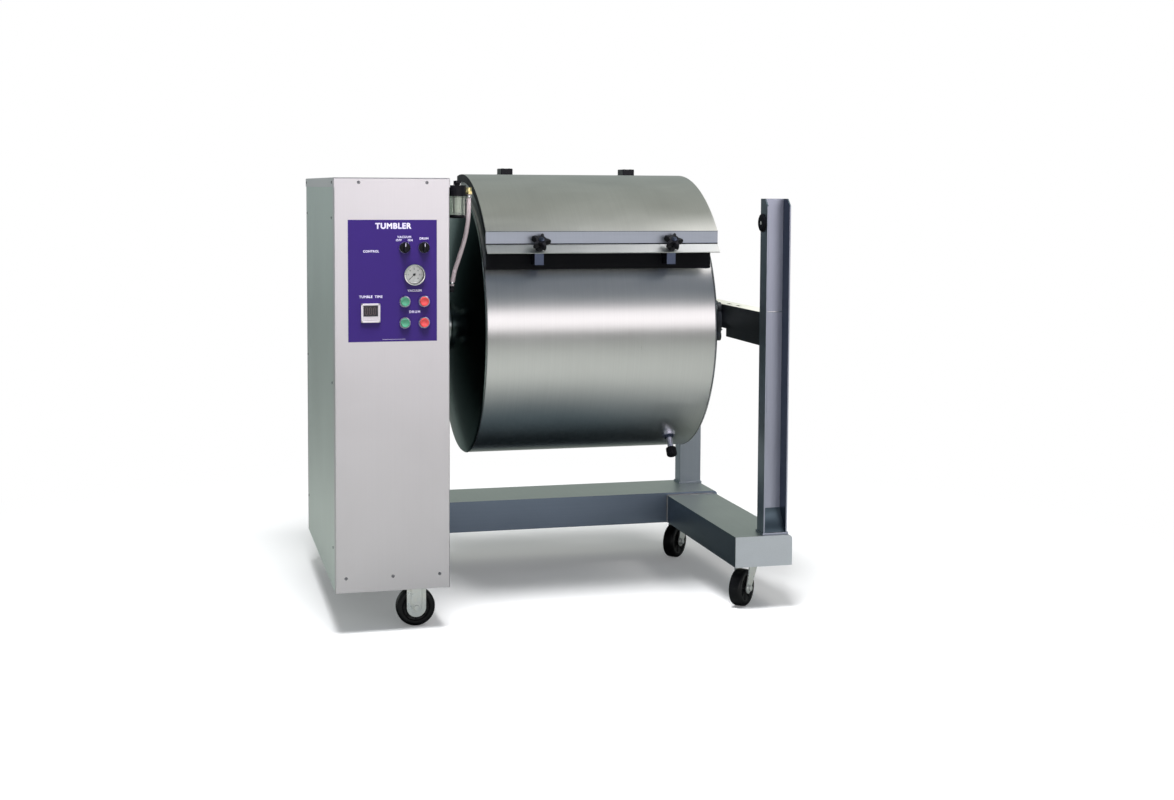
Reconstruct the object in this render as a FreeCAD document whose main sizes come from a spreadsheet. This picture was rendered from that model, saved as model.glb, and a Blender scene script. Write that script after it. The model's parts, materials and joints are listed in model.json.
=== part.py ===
import FreeCAD, Part
import math
import os
import re
import Sketcher

# Vacuum meat tumbler: a drum on a horizontal axis between a control cabinet and a pair of
# posts, on a wheeled base. +X runs along the drum from the cabinet to the posts, -Y is the
# operator's side, +Z is up and Z = 0 is the floor. Millimetres.

VECTOR = FreeCAD.Vector
X_AXIS = VECTOR(1, 0, 0)
Y_AXIS = VECTOR(0, 1, 0)
Z_AXIS = VECTOR(0, 0, 1)
UPRIGHT = FreeCAD.Rotation()
ALONG_X = FreeCAD.Rotation(Y_AXIS, 90)
ALONG_Y = FreeCAD.Rotation(X_AXIS, -90)
TO_FRONT = FreeCAD.Rotation(X_AXIS, 90)

DIMENSIONS = (
    # cabinet: left face, front face, lower edge and outer sizes
    ("cab_x", -613.5), ("cab_y", -395), ("cab_z", 113), ("cab_w", 293), ("cab_d", 807),
    ("cab_top", 1167), ("sheet", 1.5), ("wrap", 22), ("seam", 1), ("skirt", 24),
    ("bend_r", 3), ("floor_z", 124), ("floor_t", 3), ("angle_w", 28),
    # control plate and the centres of what is on it, from the cabinet's left face
    ("plate_x", 35), ("plate_w", 225), ("plate_z", 753), ("plate_tall", 308), ("plate_t", 1),
    ("col_a", 178), ("col_b", 227), ("selector_z", 991), ("row_a_z", 854), ("row_b_z", 800),
    ("gauge_x", 202.5), ("gauge_z", 922), ("gauge_r", 27.5), ("gauge_proud", 9),
    ("timer_x", 91), ("timer_z", 826), ("timer_w", 48), ("timer_proud", 6),
    ("timer_round", 3), ("bezel_r", 14.5), ("bezel_h", 5), ("barrel_r", 11), ("cap_r", 11.5), ("cap_h", 8),
    ("stem_r", 6), ("travel", 3), ("run_gap", 0.1), ("gap", 0.4),
    # drum
    ("drum_y", 9), ("drum_z", 758), ("drum_r", 358), ("drum_x", -213), ("drum_len", 627),
    ("wall", 3), ("dish", 45), ("knuckle", 6), ("shaft_r", 20), ("bore_r", 8),
    ("neck_front", 314), ("neck_rear", 62), ("neck_end", 5), ("neck_r", 475),
    ("flight_h", 60), ("flight_t", 4),
    # lid: outer radius, overhang past the drum, front strip and flared lip
    ("lid_r", 489), ("lid_drop", 67), ("lid_over", 4), ("lid_front", 353), ("lid_rear", 72), ("strip", 34),
    ("flare", 21), ("lid_skirt_r", 468), ("hinge_y", 95), ("hinge_z", 412),
    ("clamp_a_x", -77), ("clamp_b_x", 284), ("block_w", 34), ("block_d", 44), ("block_up", 27.5), ("pin_r", 5), ("ear_r", 11),
    ("knob_r", 27), ("knob_t", 20), ("stud_r", 5), ("lug_hole_r", 8), ("lug_reach", 50),
    # drain at the low front of the drum
    ("drain_x", 334), ("drain_angle", 33), ("nipple_r", 8), ("nipple_len", 54),
    ("drain_cap_r", 14.5), ("drain_cap_len", 25),
    # base and posts
    ("beam_y", 196), ("beam_w", 201), ("beam_top", 215), ("plate_thick", 3), ("base_end", 614),
    ("foot_x", 453.5), ("foot_w", 163), ("foot_y", -414), ("foot_top", 207), ("edge_r", 12),
    ("post_x", 537), ("post_w", 68), ("post_depth", 50), ("post_t", 4), ("post_top", 1117),
    ("front_post_y", -403), ("rear_post_y", 330), ("chamfer", 20), ("gusset", 65),
    ("cross_low", 719), ("cross_mid", 742), ("cross_top", 810), ("cross_w", 56), ("step", 95),
    ("bumper_r", 24.5), ("bumper_t", 8), ("bumper_z", 1052), ("bumper_y", -373),
    # flange bearings
    ("flange_w", 108), ("flange_t", 12), ("hub_r", 38), ("hub_deep", 28), ("bolt_out", 41), ("bolt_h", 8),
    # casters
    ("wheel_r", 50.8), ("wheel_w", 36), ("axle_r", 5), ("leg_t", 3), ("trail", 36),
    ("rigid_leg_w", 50), ("swivel_leg_w", 58), ("swivel_tip_w", 30),
    ("rigid_x", -399.5), ("rigid_front_y", -320), ("rigid_rear_y", 337),
    ("swivel_x", 525), ("swivel_front_y", -313), ("swivel_rear_y", 288),
    # drive inside the cabinet: half-inch chain, 15 to 45 teeth
    ("pitch", 12.7), ("roller_r", 3.9), ("drive_x", -420), ("drive_z", 440), ("tooth_t", 7),
    ("gearbox_w", 120), ("out_r", 12),
    # vacuum filter in the gap between cabinet and drum
    ("filter_x", -291), ("filter_y", -335), ("filter_z", 1064), ("bowl_r", 22), ("bowl_h", 57),
    ("head_h", 28), ("hose_r", 6), ("barb_y", -290), ("barb_z", 876),
    # cable gland in the cabinet floor
    ("gland_x", 60), ("gland_y", 700), ("gland_r", 10), ("cord_r", 5),
)
CELLS = {name: value for name, value in DIMENSIONS}
DRIVE_TEETH = 15
DRIVEN_TEETH = 45

doc = FreeCAD.newDocument("vacuum_tumbler")
sheet = doc.addObject("Spreadsheet::Sheet", "Dims")
for row, (alias, number) in enumerate(DIMENSIONS, start=1):
    sheet.set(f"A{row}", alias)
    sheet.set(f"B{row}", str(number))
    sheet.setAlias(f"B{row}", alias)
doc.recompute()

nodes = []
counter = {}


def size(alias):
    """The value of one cell of the sheet."""
    return float(sheet.get(alias))


def formula(text):
    """A formula in the sheet's aliases, as an expression the document understands."""
    def name_cell(match):
        word = match.group()
        return "Dims." + word if word in CELLS else word
    return re.sub(r"[a-z_][a-z0-9_]*", name_cell, str(text))


def fresh(kind):
    """A name for a helper feature."""
    counter[kind] = counter.get(kind, 0) + 1
    return f"{kind}_{counter[kind]}"


def bind(item, **formulas):
    for name, text in formulas.items():
        item.setExpression(name, formula(text))
    return item


def put(item, at, rotation=UPRIGHT):
    """Places a feature: its turn is fixed and its position follows the sheet."""
    item.Placement = FreeCAD.Placement(VECTOR(0, 0, 0), rotation)
    for letter, text in zip("xyz", at):
        item.setExpression("Placement.Base." + letter, formula(text))
    return item


def box(at, lengths, rotation=UPRIGHT):
    item = doc.addObject("Part::Box", fresh("block"))
    bind(item, Length=lengths[0], Width=lengths[1], Height=lengths[2])
    return put(item, at, rotation)


def rod(at, radius, length, rotation=UPRIGHT):
    """A cylinder that starts at a point and runs along +Z before it is turned."""
    item = doc.addObject("Part::Cylinder", fresh("rod"))
    bind(item, Radius=radius, Height=length)
    return put(item, at, rotation)


def taper(at, radius_a, radius_b, length, rotation=UPRIGHT):
    item = doc.addObject("Part::Cone", fresh("taper"))
    bind(item, Radius1=radius_a, Radius2=radius_b, Height=length)
    return put(item, at, rotation)


def fuse(*items):
    if len(items) == 1:
        return items[0]
    item = doc.addObject("Part::MultiFuse", fresh("fused"))
    item.Shapes = list(items)
    item.Refine = True
    return item


def cut(base, *tools):
    item = doc.addObject("Part::Cut", fresh("cut"))
    item.Base = base
    item.Tool = fuse(*tools)
    return item


def common(first, second):
    item = doc.addObject("Part::Common", fresh("common"))
    item.Base = first
    item.Tool = second
    return item


def group(*items):
    item = doc.addObject("Part::Compound", fresh("group"))
    item.Links = list(items)
    return item


def made(shape, at=("0", "0", "0"), rotation=UPRIGHT):
    """A feature whose shape comes from Part's own functions, placed afterwards."""
    item = doc.addObject("Part::Feature", fresh("made"))
    item.Shape = shape
    return put(item, at, rotation)


def turned(item, rotation, centre):
    """A compound of one feature, turned about a point given in formulas."""
    holder = doc.addObject("Part::Compound", fresh("turned"))
    holder.Links = [item]
    return put(holder, centre, rotation)


def rounded(item, radius, keep_edge):
    """Rounds the edges of a feature that keep_edge picks."""
    doc.recompute()
    picked = [n for n, edge in enumerate(item.Shape.Edges, start=1) if keep_edge(edge)]
    smooth = doc.addObject("Part::Fillet", fresh("smooth"))
    smooth.Base = item
    smooth.Edges = [(n, size(radius), size(radius)) for n in picked]
    return smooth


def node(label, item):
    item.Label = label
    nodes.append(item)
    return item


def plane_of(body, role):
    return next(f for f in body.Origin.OriginFeatures if f.Role == role)


def profile(plane, outline, length, at):
    """A PartDesign body: one closed outline, each corner bound to the sheet, padded."""
    body = doc.addObject("PartDesign::Body", fresh("body"))
    sketch = body.newObject("Sketcher::SketchObject", fresh("outline"))
    sketch.AttachmentSupport = [(plane_of(body, plane), "")]
    sketch.MapMode = "FlatFace"
    doc.recompute()
    probe = doc.addObject("Part::Box", fresh("probe"))
    corners = []
    for across, up in outline:
        probe.setExpression("Placement.Base.x", formula(across))
        probe.setExpression("Placement.Base.y", formula(up))
        probe.recompute()
        corners.append(VECTOR(probe.Placement.Base.x, probe.Placement.Base.y, 0))
    doc.removeObject(probe.Name)
    count = len(corners)
    for index in range(count):
        sketch.addGeometry(Part.LineSegment(corners[index], corners[(index + 1) % count]), False)
    for index in range(count):
        sketch.addConstraint(
            Sketcher.Constraint("Coincident", index, 2, (index + 1) % count, 1))
    for index, (across, up) in enumerate(outline):
        for kind, text, number in (("DistanceX", across, corners[index].x),
                                   ("DistanceY", up, corners[index].y)):
            spot = sketch.addConstraint(Sketcher.Constraint(kind, -1, 1, index, 1, number))
            sketch.setExpression(f"Constraints[{spot}]", formula(text))
    pad = body.newObject("PartDesign::Pad", fresh("pad"))
    pad.Profile = sketch
    bind(pad, Length=length)
    body.Tip = pad
    return put(body, at)


def runs_along(edge, axis):
    """True for a straight edge parallel to an axis."""
    if edge.Curve.TypeId != "Part::GeomLine" or edge.Length < 1e-6:
        return False
    span = edge.Vertexes[-1].Point - edge.Vertexes[0].Point
    return abs(span.normalize().dot(axis)) > 0.999


def at_corner(edge, **where):
    """True where the edge's middle is at the given coordinates, to a tenth of a millimetre."""
    middle = edge.CenterOfMass
    return all(abs(getattr(middle, letter) - value) < 0.1 for letter, value in where.items())


# ---------------------------------------------------------------- cabinet

CAB_RIGHT = "cab_x + cab_w"
CAB_REAR = "cab_y + cab_d"
PANEL_TALL = "cab_top - sheet - cab_z"
CONTROLS = (("col_a", "selector_z"), ("col_b", "selector_z"), ("col_a", "row_a_z"),
            ("col_a", "row_b_z"), ("col_b", "row_a_z"), ("col_b", "row_b_z"))


def screw_places():
    """Where the cabinet's screws go: the point on the skin and the way the head faces."""
    places = []
    for across in (26.5, 146, 266.5):
        places.append(((f"cab_x + {across}", "cab_y", 150), "front"))
        places.append(((f"cab_x + {across}", CAB_REAR, 150), "rear"))
    for across in (62.5, 235):
        places.append(((f"cab_x + {across}", "cab_y - sheet", "cab_top - skirt / 2"), "front"))
        places.append(((f"cab_x + {across}", CAB_REAR + " + sheet", "cab_top - skirt / 2"), "rear"))
    for height in (220, 645, 1065):
        for depth in ("cab_y + 55", CAB_REAR + " - 30"):
            places.append((("cab_x", depth, height), "left"))
            places.append(((CAB_RIGHT, depth, height), "right"))
    for depth in ("cab_y + 30", CAB_REAR + " - 34"):
        places.append((("cab_x - sheet", depth, "cab_top - skirt / 2"), "left"))
        places.append(((CAB_RIGHT + " + sheet", depth, "cab_top - skirt / 2"), "right"))
    return places


FACING = {"front": TO_FRONT, "rear": ALONG_Y, "right": ALONG_X,
          "left": FreeCAD.Rotation(Y_AXIS, -90)}
INWARD = {"front": "rear", "rear": "front", "right": "left", "left": "right"}


def screw(place, facing):
    head = rod(place, 4.3, 1.4, FACING[facing])
    shank = rod(place, 2, 7, FACING[INWARD[facing]])
    return fuse(head, shank)


def screw_holes():
    """Clearance for every screw, through the skins and into the frame."""
    return [rod(place, 2.2, 12, FACING[INWARD[facing]]) for place, facing in screw_places()]


def panel_u(y_outer, y_inner, y_edge):
    """A sheet bent round both corners of the cabinet, seen from above."""
    outline = (("0", y_edge), ("0", y_outer), ("cab_w", y_outer), ("cab_w", y_edge),
               ("cab_w - sheet", y_edge), ("cab_w - sheet", y_inner),
               ("sheet", y_inner), ("sheet", y_edge))
    bent = profile("XY_Plane", outline, PANEL_TALL, ("cab_x", "cab_y", "cab_z"))
    doc.recompute()
    left = size("cab_x")
    right = left + size("cab_w")
    reach = bent.Shape.BoundBox
    face = reach.YMin if y_outer == "0" else reach.YMax
    return rounded(bent, "bend_r", lambda e: runs_along(e, Z_AXIS) and (
        at_corner(e, x=left, y=face) or at_corner(e, x=right, y=face)))


def control_holes(start, depth):
    holes = [rod((f"cab_x + {x}", start, z), "barrel_r + gap", depth, ALONG_Y) for x, z in CONTROLS]
    holes.append(rod(("cab_x + gauge_x", start, "gauge_z"), "gauge_r - 2", depth, ALONG_Y))
    side = "timer_w - 2.6"
    holes.append(box((f"cab_x + timer_x - ({side}) / 2", start, f"timer_z - ({side}) / 2"),
                     (side, depth, side)))
    return holes


def build_cabinet():
    holes = group(*screw_holes())
    front = panel_u("0", "sheet", "wrap")
    node("front_panel", cut(front, holes, *control_holes("cab_y - 5", 10)))
    rear = panel_u("cab_d", "cab_d - sheet", "cab_d - wrap")
    louvres = [box((f"{CAB_RIGHT} - cab_w / 2 - 70", f"{CAB_REAR} - 5", 300 + 18 * step),
                   (140, 10, 5)) for step in range(10)]
    node("rear_panel", cut(rear, holes, *louvres))
    depth = "cab_d - 2 * wrap - 2 * seam"
    left = box(("cab_x", "cab_y + wrap + seam", "cab_z"), ("sheet", depth, PANEL_TALL))
    node("left_side_panel", cut(left, holes))
    right = box((f"{CAB_RIGHT} - sheet", "cab_y + wrap + seam", "cab_z"),
                ("sheet", depth, PANEL_TALL))
    shaft_hole = rod((f"{CAB_RIGHT} - 10", "drum_y", "drum_z"), "shaft_r + 6", 20, ALONG_X)
    ports = [rod((f"{CAB_RIGHT} - 10", y, z), 6.3, 20, ALONG_X)
             for y, z in (("filter_y", "filter_z + bowl_h + head_h / 2"), ("barb_y", "barb_z"))]
    beam_gap = box((f"{CAB_RIGHT} - 10", "beam_y - seam", "floor_z"),
                   (20, "beam_w + 2 * seam", "beam_top - floor_z + seam"))
    node("right_side_panel", cut(right, holes, shaft_hole, beam_gap, *ports))
    outer = box(("cab_x - sheet", "cab_y - sheet", "cab_top - skirt"),
                ("cab_w + 2 * sheet", "cab_d + 2 * sheet", "skirt"))
    top = size("cab_top")
    outer = rounded(outer, "bend_r", lambda e: runs_along(e, Z_AXIS) or e.CenterOfMass.z > top - 0.1)
    inner = box(("cab_x", "cab_y", "cab_top - skirt"), ("cab_w", "cab_d", "skirt - sheet"))
    node("top_cover", cut(outer, inner, holes))
    build_cabinet_frame(holes)
    node("cabinet_screws", group(*[screw(place, facing) for place, facing in screw_places()]))


def build_cabinet_frame(holes):
    """Four corner angles, top rails, the gearbox stand and the plate for the shaft bearing."""
    inside_x, inside_y = "cab_x + sheet", "cab_y + sheet"
    inside_w, inside_d = "(cab_w - 2 * sheet)", "(cab_d - 2 * sheet)"
    base_z = "(floor_z + floor_t)"
    tall = f"cab_top - sheet - {base_z}"
    floor = box((inside_x, inside_y, "floor_z"), (inside_w, inside_d, "floor_t"))
    gland_hole = rod(("cab_x + gland_x", "cab_y + gland_y", 100), "gland_r + gap / 2", 60)
    node("cabinet_floor", cut(floor, gland_hole))
    parts = []
    for x_side in (0, 1):
        for y_side in (0, 1):
            corner_x = f"{inside_x} + {x_side} * ({inside_w} - angle_w)"
            corner_y = f"{inside_y} + {y_side} * ({inside_d} - angle_w)"
            face_x = f"{inside_x} + {x_side} * ({inside_w} - 2)"
            face_y = f"{inside_y} + {y_side} * ({inside_d} - 2)"
            parts.append(box((corner_x, face_y, base_z), ("angle_w", 2, tall)))
            parts.append(box((face_x, corner_y, base_z), (2, "angle_w", tall)))
    for y_side in (0, 1):
        rail_y = f"{inside_y} + {y_side} * ({inside_d} - 2)"
        parts.append(box((inside_x, rail_y, "cab_top - sheet - 20"), (inside_w, 2, 20)))
    for x_side in (0, 1):
        rail_x = f"{inside_x} + {x_side} * ({inside_w} - 2)"
        parts.append(box((rail_x, inside_y, "cab_top - sheet - 20"), (2, inside_d, 20)))
    plate_x = f"{CAB_RIGHT} - sheet - 6"
    parts.append(box((plate_x, inside_y, "drum_z - 75"), (6, inside_d, 150)))
    parts.append(box((inside_x, "drum_y - 90", "drive_z - gearbox_w / 2 - 6"),
                     (inside_w, 180, 6)))
    for y_side in (-90, 84):
        parts.append(box((inside_x, f"drum_y + {y_side}", base_z),
                         (inside_w, 6, f"drive_z - gearbox_w / 2 - {base_z}")))
    shaft_hole = rod((f"{plate_x} - 5", "drum_y", "drum_z"), "shaft_r + 6", 20, ALONG_X)
    port = rod((f"{plate_x} - 5", "barb_y", "barb_z"), 6.3, 20, ALONG_X)
    node("cabinet_frame", cut(fuse(*parts), holes, shaft_hole, port))


def build_controls():
    face = "cab_y - plate_t"
    plate = box(("cab_x + plate_x", face, "plate_z"), ("plate_w", "plate_t", "plate_tall"))
    node("control_plate", cut(plate, *control_holes("cab_y - 5", 10)))
    bezels = []
    blocks = []
    for x, z in CONTROLS:
        centre = f"cab_x + {x}"
        ring = rod((centre, f"{face} - bezel_h", z), "bezel_r", "bezel_h", ALONG_Y)
        barrel = rod((centre, face, z), "barrel_r", "26", ALONG_Y)
        pocket = rod((centre, f"{face} - bezel_h", z), "cap_r + gap", "bezel_h - 1", ALONG_Y)
        bore = rod((centre, f"{face} - bezel_h", z), "stem_r + run_gap", "40", ALONG_Y)
        bezels.append(cut(fuse(ring, barrel), pocket, bore))
        blocks.append(box((f"{centre} - 15", f"{face} + 26", f"{z} - 22"), (30, 36, 44)))
    node("control_bezels", group(*bezels))
    cabinet_gear = box(("cab_x + 20", "cab_y + 120", 900), (180, 90, 200))
    contactors = [box((f"cab_x + 35 + {52 * n}", "cab_y + 78", 960), (44, 42, 80)) for n in range(3)]
    node("switchgear", group(cabinet_gear, *contactors, *blocks))
    build_gauge(face)
    build_timer(face)
    build_knobs_and_buttons(face)


def build_gauge(face):
    centre = "cab_x + gauge_x"
    front = f"{face} - gauge_proud"
    bezel = rod((centre, front, "gauge_z"), "gauge_r", "gauge_proud", ALONG_Y)
    case = rod((centre, face, "gauge_z"), "gauge_r - 3", 24, ALONG_Y)
    hollow = rod((centre, front, "gauge_z"), "gauge_r - 4", "gauge_proud + 10", ALONG_Y)
    stem = rod((centre, f"{face} + 24", "gauge_z"), 6.5, 16, ALONG_Y)
    dial = rod((centre, f"{face} + 6", "gauge_z"), "gauge_r - 4", 4, ALONG_Y)
    node("gauge_case", group(cut(fuse(bezel, case, stem), hollow), dial))
    lens = rod((centre, f"{front} + 1.5", "gauge_z"), "gauge_r - 4", 1.5, ALONG_Y)
    node("gauge_lens", lens)
    hub = rod((centre, f"{face} + 2.5", "gauge_z"), 3, 2.5, ALONG_Y)
    blade = box((f"{centre} - 0.6", f"{face} + 3.2", "gauge_z - 5"), (1.2, 0.8, 23))
    node("gauge_needle", turned_needle(fuse(hub, blade)))


def turned_needle(item):
    """The pointer leans to the zero mark, low on the left of the dial."""
    at_rest = doc.addObject("Part::Compound", fresh("pointer"))
    at_rest.Links = [item]
    lean = FreeCAD.Rotation(Y_AXIS, 225)
    middle = VECTOR(size("cab_x") + size("gauge_x"), 0, size("gauge_z"))
    at_rest.Placement = FreeCAD.Placement(middle - lean.multVec(middle), lean)
    return at_rest


def build_timer(face):
    left = "cab_x + timer_x - timer_w / 2"
    low = "timer_z - timer_w / 2"
    bezel = box((left, f"{face} - timer_proud", low), ("timer_w", "timer_proud", "timer_w"))
    bezel = rounded(bezel, "timer_round", lambda e: runs_along(e, Y_AXIS))
    body = box((f"{left} + 1.5", face, f"{low} + 1.5"), ("timer_w - 3", 60, "timer_w - 3"))
    recess = box((f"{left} + 4", f"{face} - timer_proud", f"{low} + 19"),
                 ("timer_w - 8", 1.5, "timer_w - 23"))
    window = box((f"{left} + 4", f"{face} - timer_proud + 0.5", f"{low} + 19"),
                 ("timer_w - 8", 1, "timer_w - 23"))
    node("timer", group(cut(fuse(bezel, body), recess), window))


def build_knobs_and_buttons(face):
    for (x, z), side in zip(CONTROLS[:2], ("left", "right")):
        centre = f"cab_x + {x}"
        disc = rod((centre, f"{face} - bezel_h - gap - 4", z), "bezel_r - 1", 4, ALONG_Y)
        grip = box((f"{centre} - 4", f"{face} - bezel_h - 14.5", f"{z} - 12.5"), (8, 11, 25))
        stem = rod((centre, f"{face} - bezel_h - 2", z), "stem_r", "22", ALONG_Y)
        node(f"selector_knob_{side}", fuse(disc, grip, stem))
    names = ("green_button_upper", "green_button_lower", "red_button_upper", "red_button_lower")
    for (x, z), name in zip(CONTROLS[2:], names):
        centre = f"cab_x + {x}"
        cap = rod((centre, f"{face} - travel - cap_h", z), "cap_r", "cap_h - 1 - gap", ALONG_Y)
        stem = rod((centre, f"{face} - travel - 2", z), "stem_r", "22", ALONG_Y)
        node(name, fuse(cap, stem))


# ---------------------------------------------------------------- drum and lid

AXIS = ("0", "drum_y", "drum_z")
LID_AXIS = "drum_z - lid_drop"


def drum_tube(outer, inner, start="drum_x", length="drum_len", height="drum_z"):
    """A tube along the drum, on its axis unless a height is given."""
    return cut(rod((start, "drum_y", height), outer, length, ALONG_X),
               rod((f"{start} - 5", "drum_y", height), inner, f"{length} + 10", ALONG_X))


def head_shape():
    """A torispherical dish that bulges towards -X from the plane X = 0, about the X axis."""
    radius, knuckle, dish, wall = (size(n) for n in ("drum_r", "knuckle", "dish", "wall"))
    rim = radius - knuckle
    crown = (dish ** 2 + rim ** 2 - knuckle ** 2) / (2 * (dish - knuckle))
    lean = math.atan2(rim, crown - dish)

    def arc_points(offset):
        small, large = knuckle - offset, crown - offset
        centre_x = crown - dish
        top = VECTOR(0, rim + small, 0)
        bend = VECTOR(-small * math.sin(math.pi / 4),
                      rim + small * math.cos(math.pi / 4), 0)
        joint = VECTOR(-small * math.cos(lean), rim + small * math.sin(lean), 0)
        half = VECTOR(centre_x - large * math.cos(lean / 2), large * math.sin(lean / 2), 0)
        pole = VECTOR(centre_x - large, 0, 0)
        return top, bend, joint, half, pole
    outer, inner = arc_points(0), arc_points(wall)
    edges = [
        Part.Arc(outer[0], outer[1], outer[2]).toShape(),
        Part.Arc(outer[2], outer[3], outer[4]).toShape(),
        Part.LineSegment(outer[4], inner[4]).toShape(),
        Part.Arc(inner[4], inner[3], inner[2]).toShape(),
        Part.Arc(inner[2], inner[1], inner[0]).toShape(),
        Part.LineSegment(inner[0], outer[0]).toShape(),
    ]
    face = Part.Face(Part.Wire(edges))
    return face.revolve(VECTOR(0, 0, 0), X_AXIS, 360)


def build_drum():
    collar_y = "drum_y - neck_front"
    collar_w = "neck_front + neck_rear"
    neck_x = "drum_x + neck_end"
    neck_len = "drum_len - 2 * neck_end"
    way_in = box((f"{neck_x} + wall", f"{collar_y} + wall", "drum_z + 100"),
                 (f"{neck_len} - 2 * wall", f"{collar_w} - 2 * wall", 400))
    outside = box((neck_x, collar_y, "drum_z + 100"), (neck_len, collar_w, 400))
    drain = drain_rod("drum_r - 10", "bore_r", "30")
    node("drum_shell", cut(drum_tube("drum_r", "drum_r - wall"), outside, drain))
    under_lid = rod(("drum_x", "drum_y", LID_AXIS), "neck_r", "drum_len", ALONG_X)
    inside = rod(("drum_x", "drum_y", "drum_z"), "drum_r - wall", "drum_len", ALONG_X)
    ring = cut(common(cut(outside, way_in), under_lid), inside)
    node("opening_neck", ring)
    left = cut(made(head_shape(), ("drum_x", "drum_y", "drum_z")), shaft_clear())
    right = cut(made(head_shape(), ("drum_x + drum_len", "drum_y", "drum_z"),
                     FreeCAD.Rotation(Z_AXIS, 180)), shaft_clear())
    node("drum_heads", group(left, right))
    build_flights()
    shaft_start = "drive_x - 60"
    shaft = rod((shaft_start, "drum_y", "drum_z"), "shaft_r",
                "drum_x - dish - (drive_x - 60) + wall + 2", ALONG_X)
    flange_left = rod(("drum_x - dish - 12", "drum_y", "drum_z"), 70, 12, ALONG_X)
    bore = rod((shaft_start, "drum_y", "drum_z"), "bore_r", 400, ALONG_X)
    left_shaft = cut(fuse(shaft, flange_left), bore)
    stub_x = "drum_x + drum_len + dish - wall - 2"
    stub = rod((stub_x, "drum_y", "drum_z"), "shaft_r", f"post_x + 30 - ({stub_x})", ALONG_X)
    flange_right = rod(("drum_x + drum_len + dish", "drum_y", "drum_z"), 70, 12, ALONG_X)
    node("drum_shafts", group(left_shaft, fuse(stub, flange_right)))
    build_drain()


def shaft_clear():
    return rod(("drum_x - 100", "drum_y", "drum_z"), "shaft_r", "drum_len + 200", ALONG_X)


def build_flights():
    """Four lifting flights along the drum, spaced round the part that has no opening."""
    flights = []
    for turn in (100, 175, 250, 325):
        plate = box(("drum_x + 40", "-flight_t / 2", "drum_r - wall - flight_h"),
                    ("drum_len - 80", "flight_t", "flight_h + 20"))
        foot = turned(plate, FreeCAD.Rotation(X_AXIS, turn), AXIS)
        flights.append(common(foot, rod(("drum_x", "drum_y", "drum_z"), "drum_r - wall",
                                        "drum_len", ALONG_X)))
    node("drum_flights", group(*flights))


def drain_rod(start, radius, length):
    """A cylinder on the drain's own radial line, which leans forward from straight down."""
    lean = FreeCAD.Rotation(X_AXIS, 180 - size("drain_angle"))
    item = rod(("0", "0", start), radius, length)
    holder = turned(item, lean, ("drain_x", "drum_y", "drum_z"))
    return holder


def build_drain():
    pad = drain_rod("drum_r - wall", "18", "9")
    tube = drain_rod("drum_r - wall", "nipple_r", "nipple_len + 6")
    bore = drain_rod("drum_r - 20", "nipple_r - 3", "nipple_len + 60")
    shell = rod(("drum_x", "drum_y", "drum_z"), "drum_r", "drum_len", ALONG_X)
    spigot = fuse(cut(fuse(pad, tube), shell), drain_rod("drum_r - wall", "bore_r", "5"))
    node("drain_nipple", cut(spigot, bore))
    cap = drain_rod("drum_r + nipple_len - 12", "drain_cap_r", "drain_cap_len")
    socket = drain_rod("drum_r + nipple_len - 13", "nipple_r + run_gap", "18")
    node("drain_cap", cut(cap, socket))


def lid_profile_sheet():
    """The lid seen along the drum: an arc, a short upright strip in front and a flared lip."""
    radius, thick = size("lid_r"), size("wall")
    front, rear = size("lid_front"), size("lid_rear")
    strip, flare, drop = size("strip"), size("flare"), size("lid_drop")
    tail = 14

    def upright(y, r):
        return math.sqrt(r * r - y * y) - drop
    diagonal = thick * math.tan(math.pi / 8)
    inner_front = front - thick
    inner_r = radius - thick
    start = VECTOR(0, -front, upright(front, radius))
    end = VECTOR(0, rear, upright(rear, radius))
    mid = VECTOR(0, -radius * math.sin(0.35), radius * math.cos(0.35) - drop)
    knee = VECTOR(0, -front, start.z - strip)
    lip = VECTOR(0, -front - flare, knee.z - flare)
    lip_in = lip + VECTOR(0, thick, -thick) * math.sqrt(0.5)
    knee_in = VECTOR(0, -inner_front, knee.z - diagonal)
    start_in = VECTOR(0, -inner_front, upright(inner_front, inner_r))
    mid_in = VECTOR(0, -inner_r * math.sin(0.35), inner_r * math.cos(0.35) - drop)
    tail_in = VECTOR(0, rear - thick, upright(rear - thick, inner_r))
    tail_low_in = VECTOR(0, rear - thick, end.z - tail)
    tail_low = VECTOR(0, rear, end.z - tail)
    edges = [
        Part.Arc(start, mid, end).toShape(),
        Part.LineSegment(end, tail_low).toShape(),
        Part.LineSegment(tail_low, tail_low_in).toShape(),
        Part.LineSegment(tail_low_in, tail_in).toShape(),
        Part.Arc(tail_in, mid_in, start_in).toShape(),
        Part.LineSegment(start_in, knee_in).toShape(),
        Part.LineSegment(knee_in, lip_in).toShape(),
        Part.LineSegment(lip_in, lip).toShape(),
        Part.LineSegment(lip, knee).toShape(),
        Part.LineSegment(knee, start).toShape(),
    ]
    length = size("drum_len") + 2 * size("lid_over")
    return Part.Face(Part.Wire(edges)).extrude(VECTOR(length, 0, 0))


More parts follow.
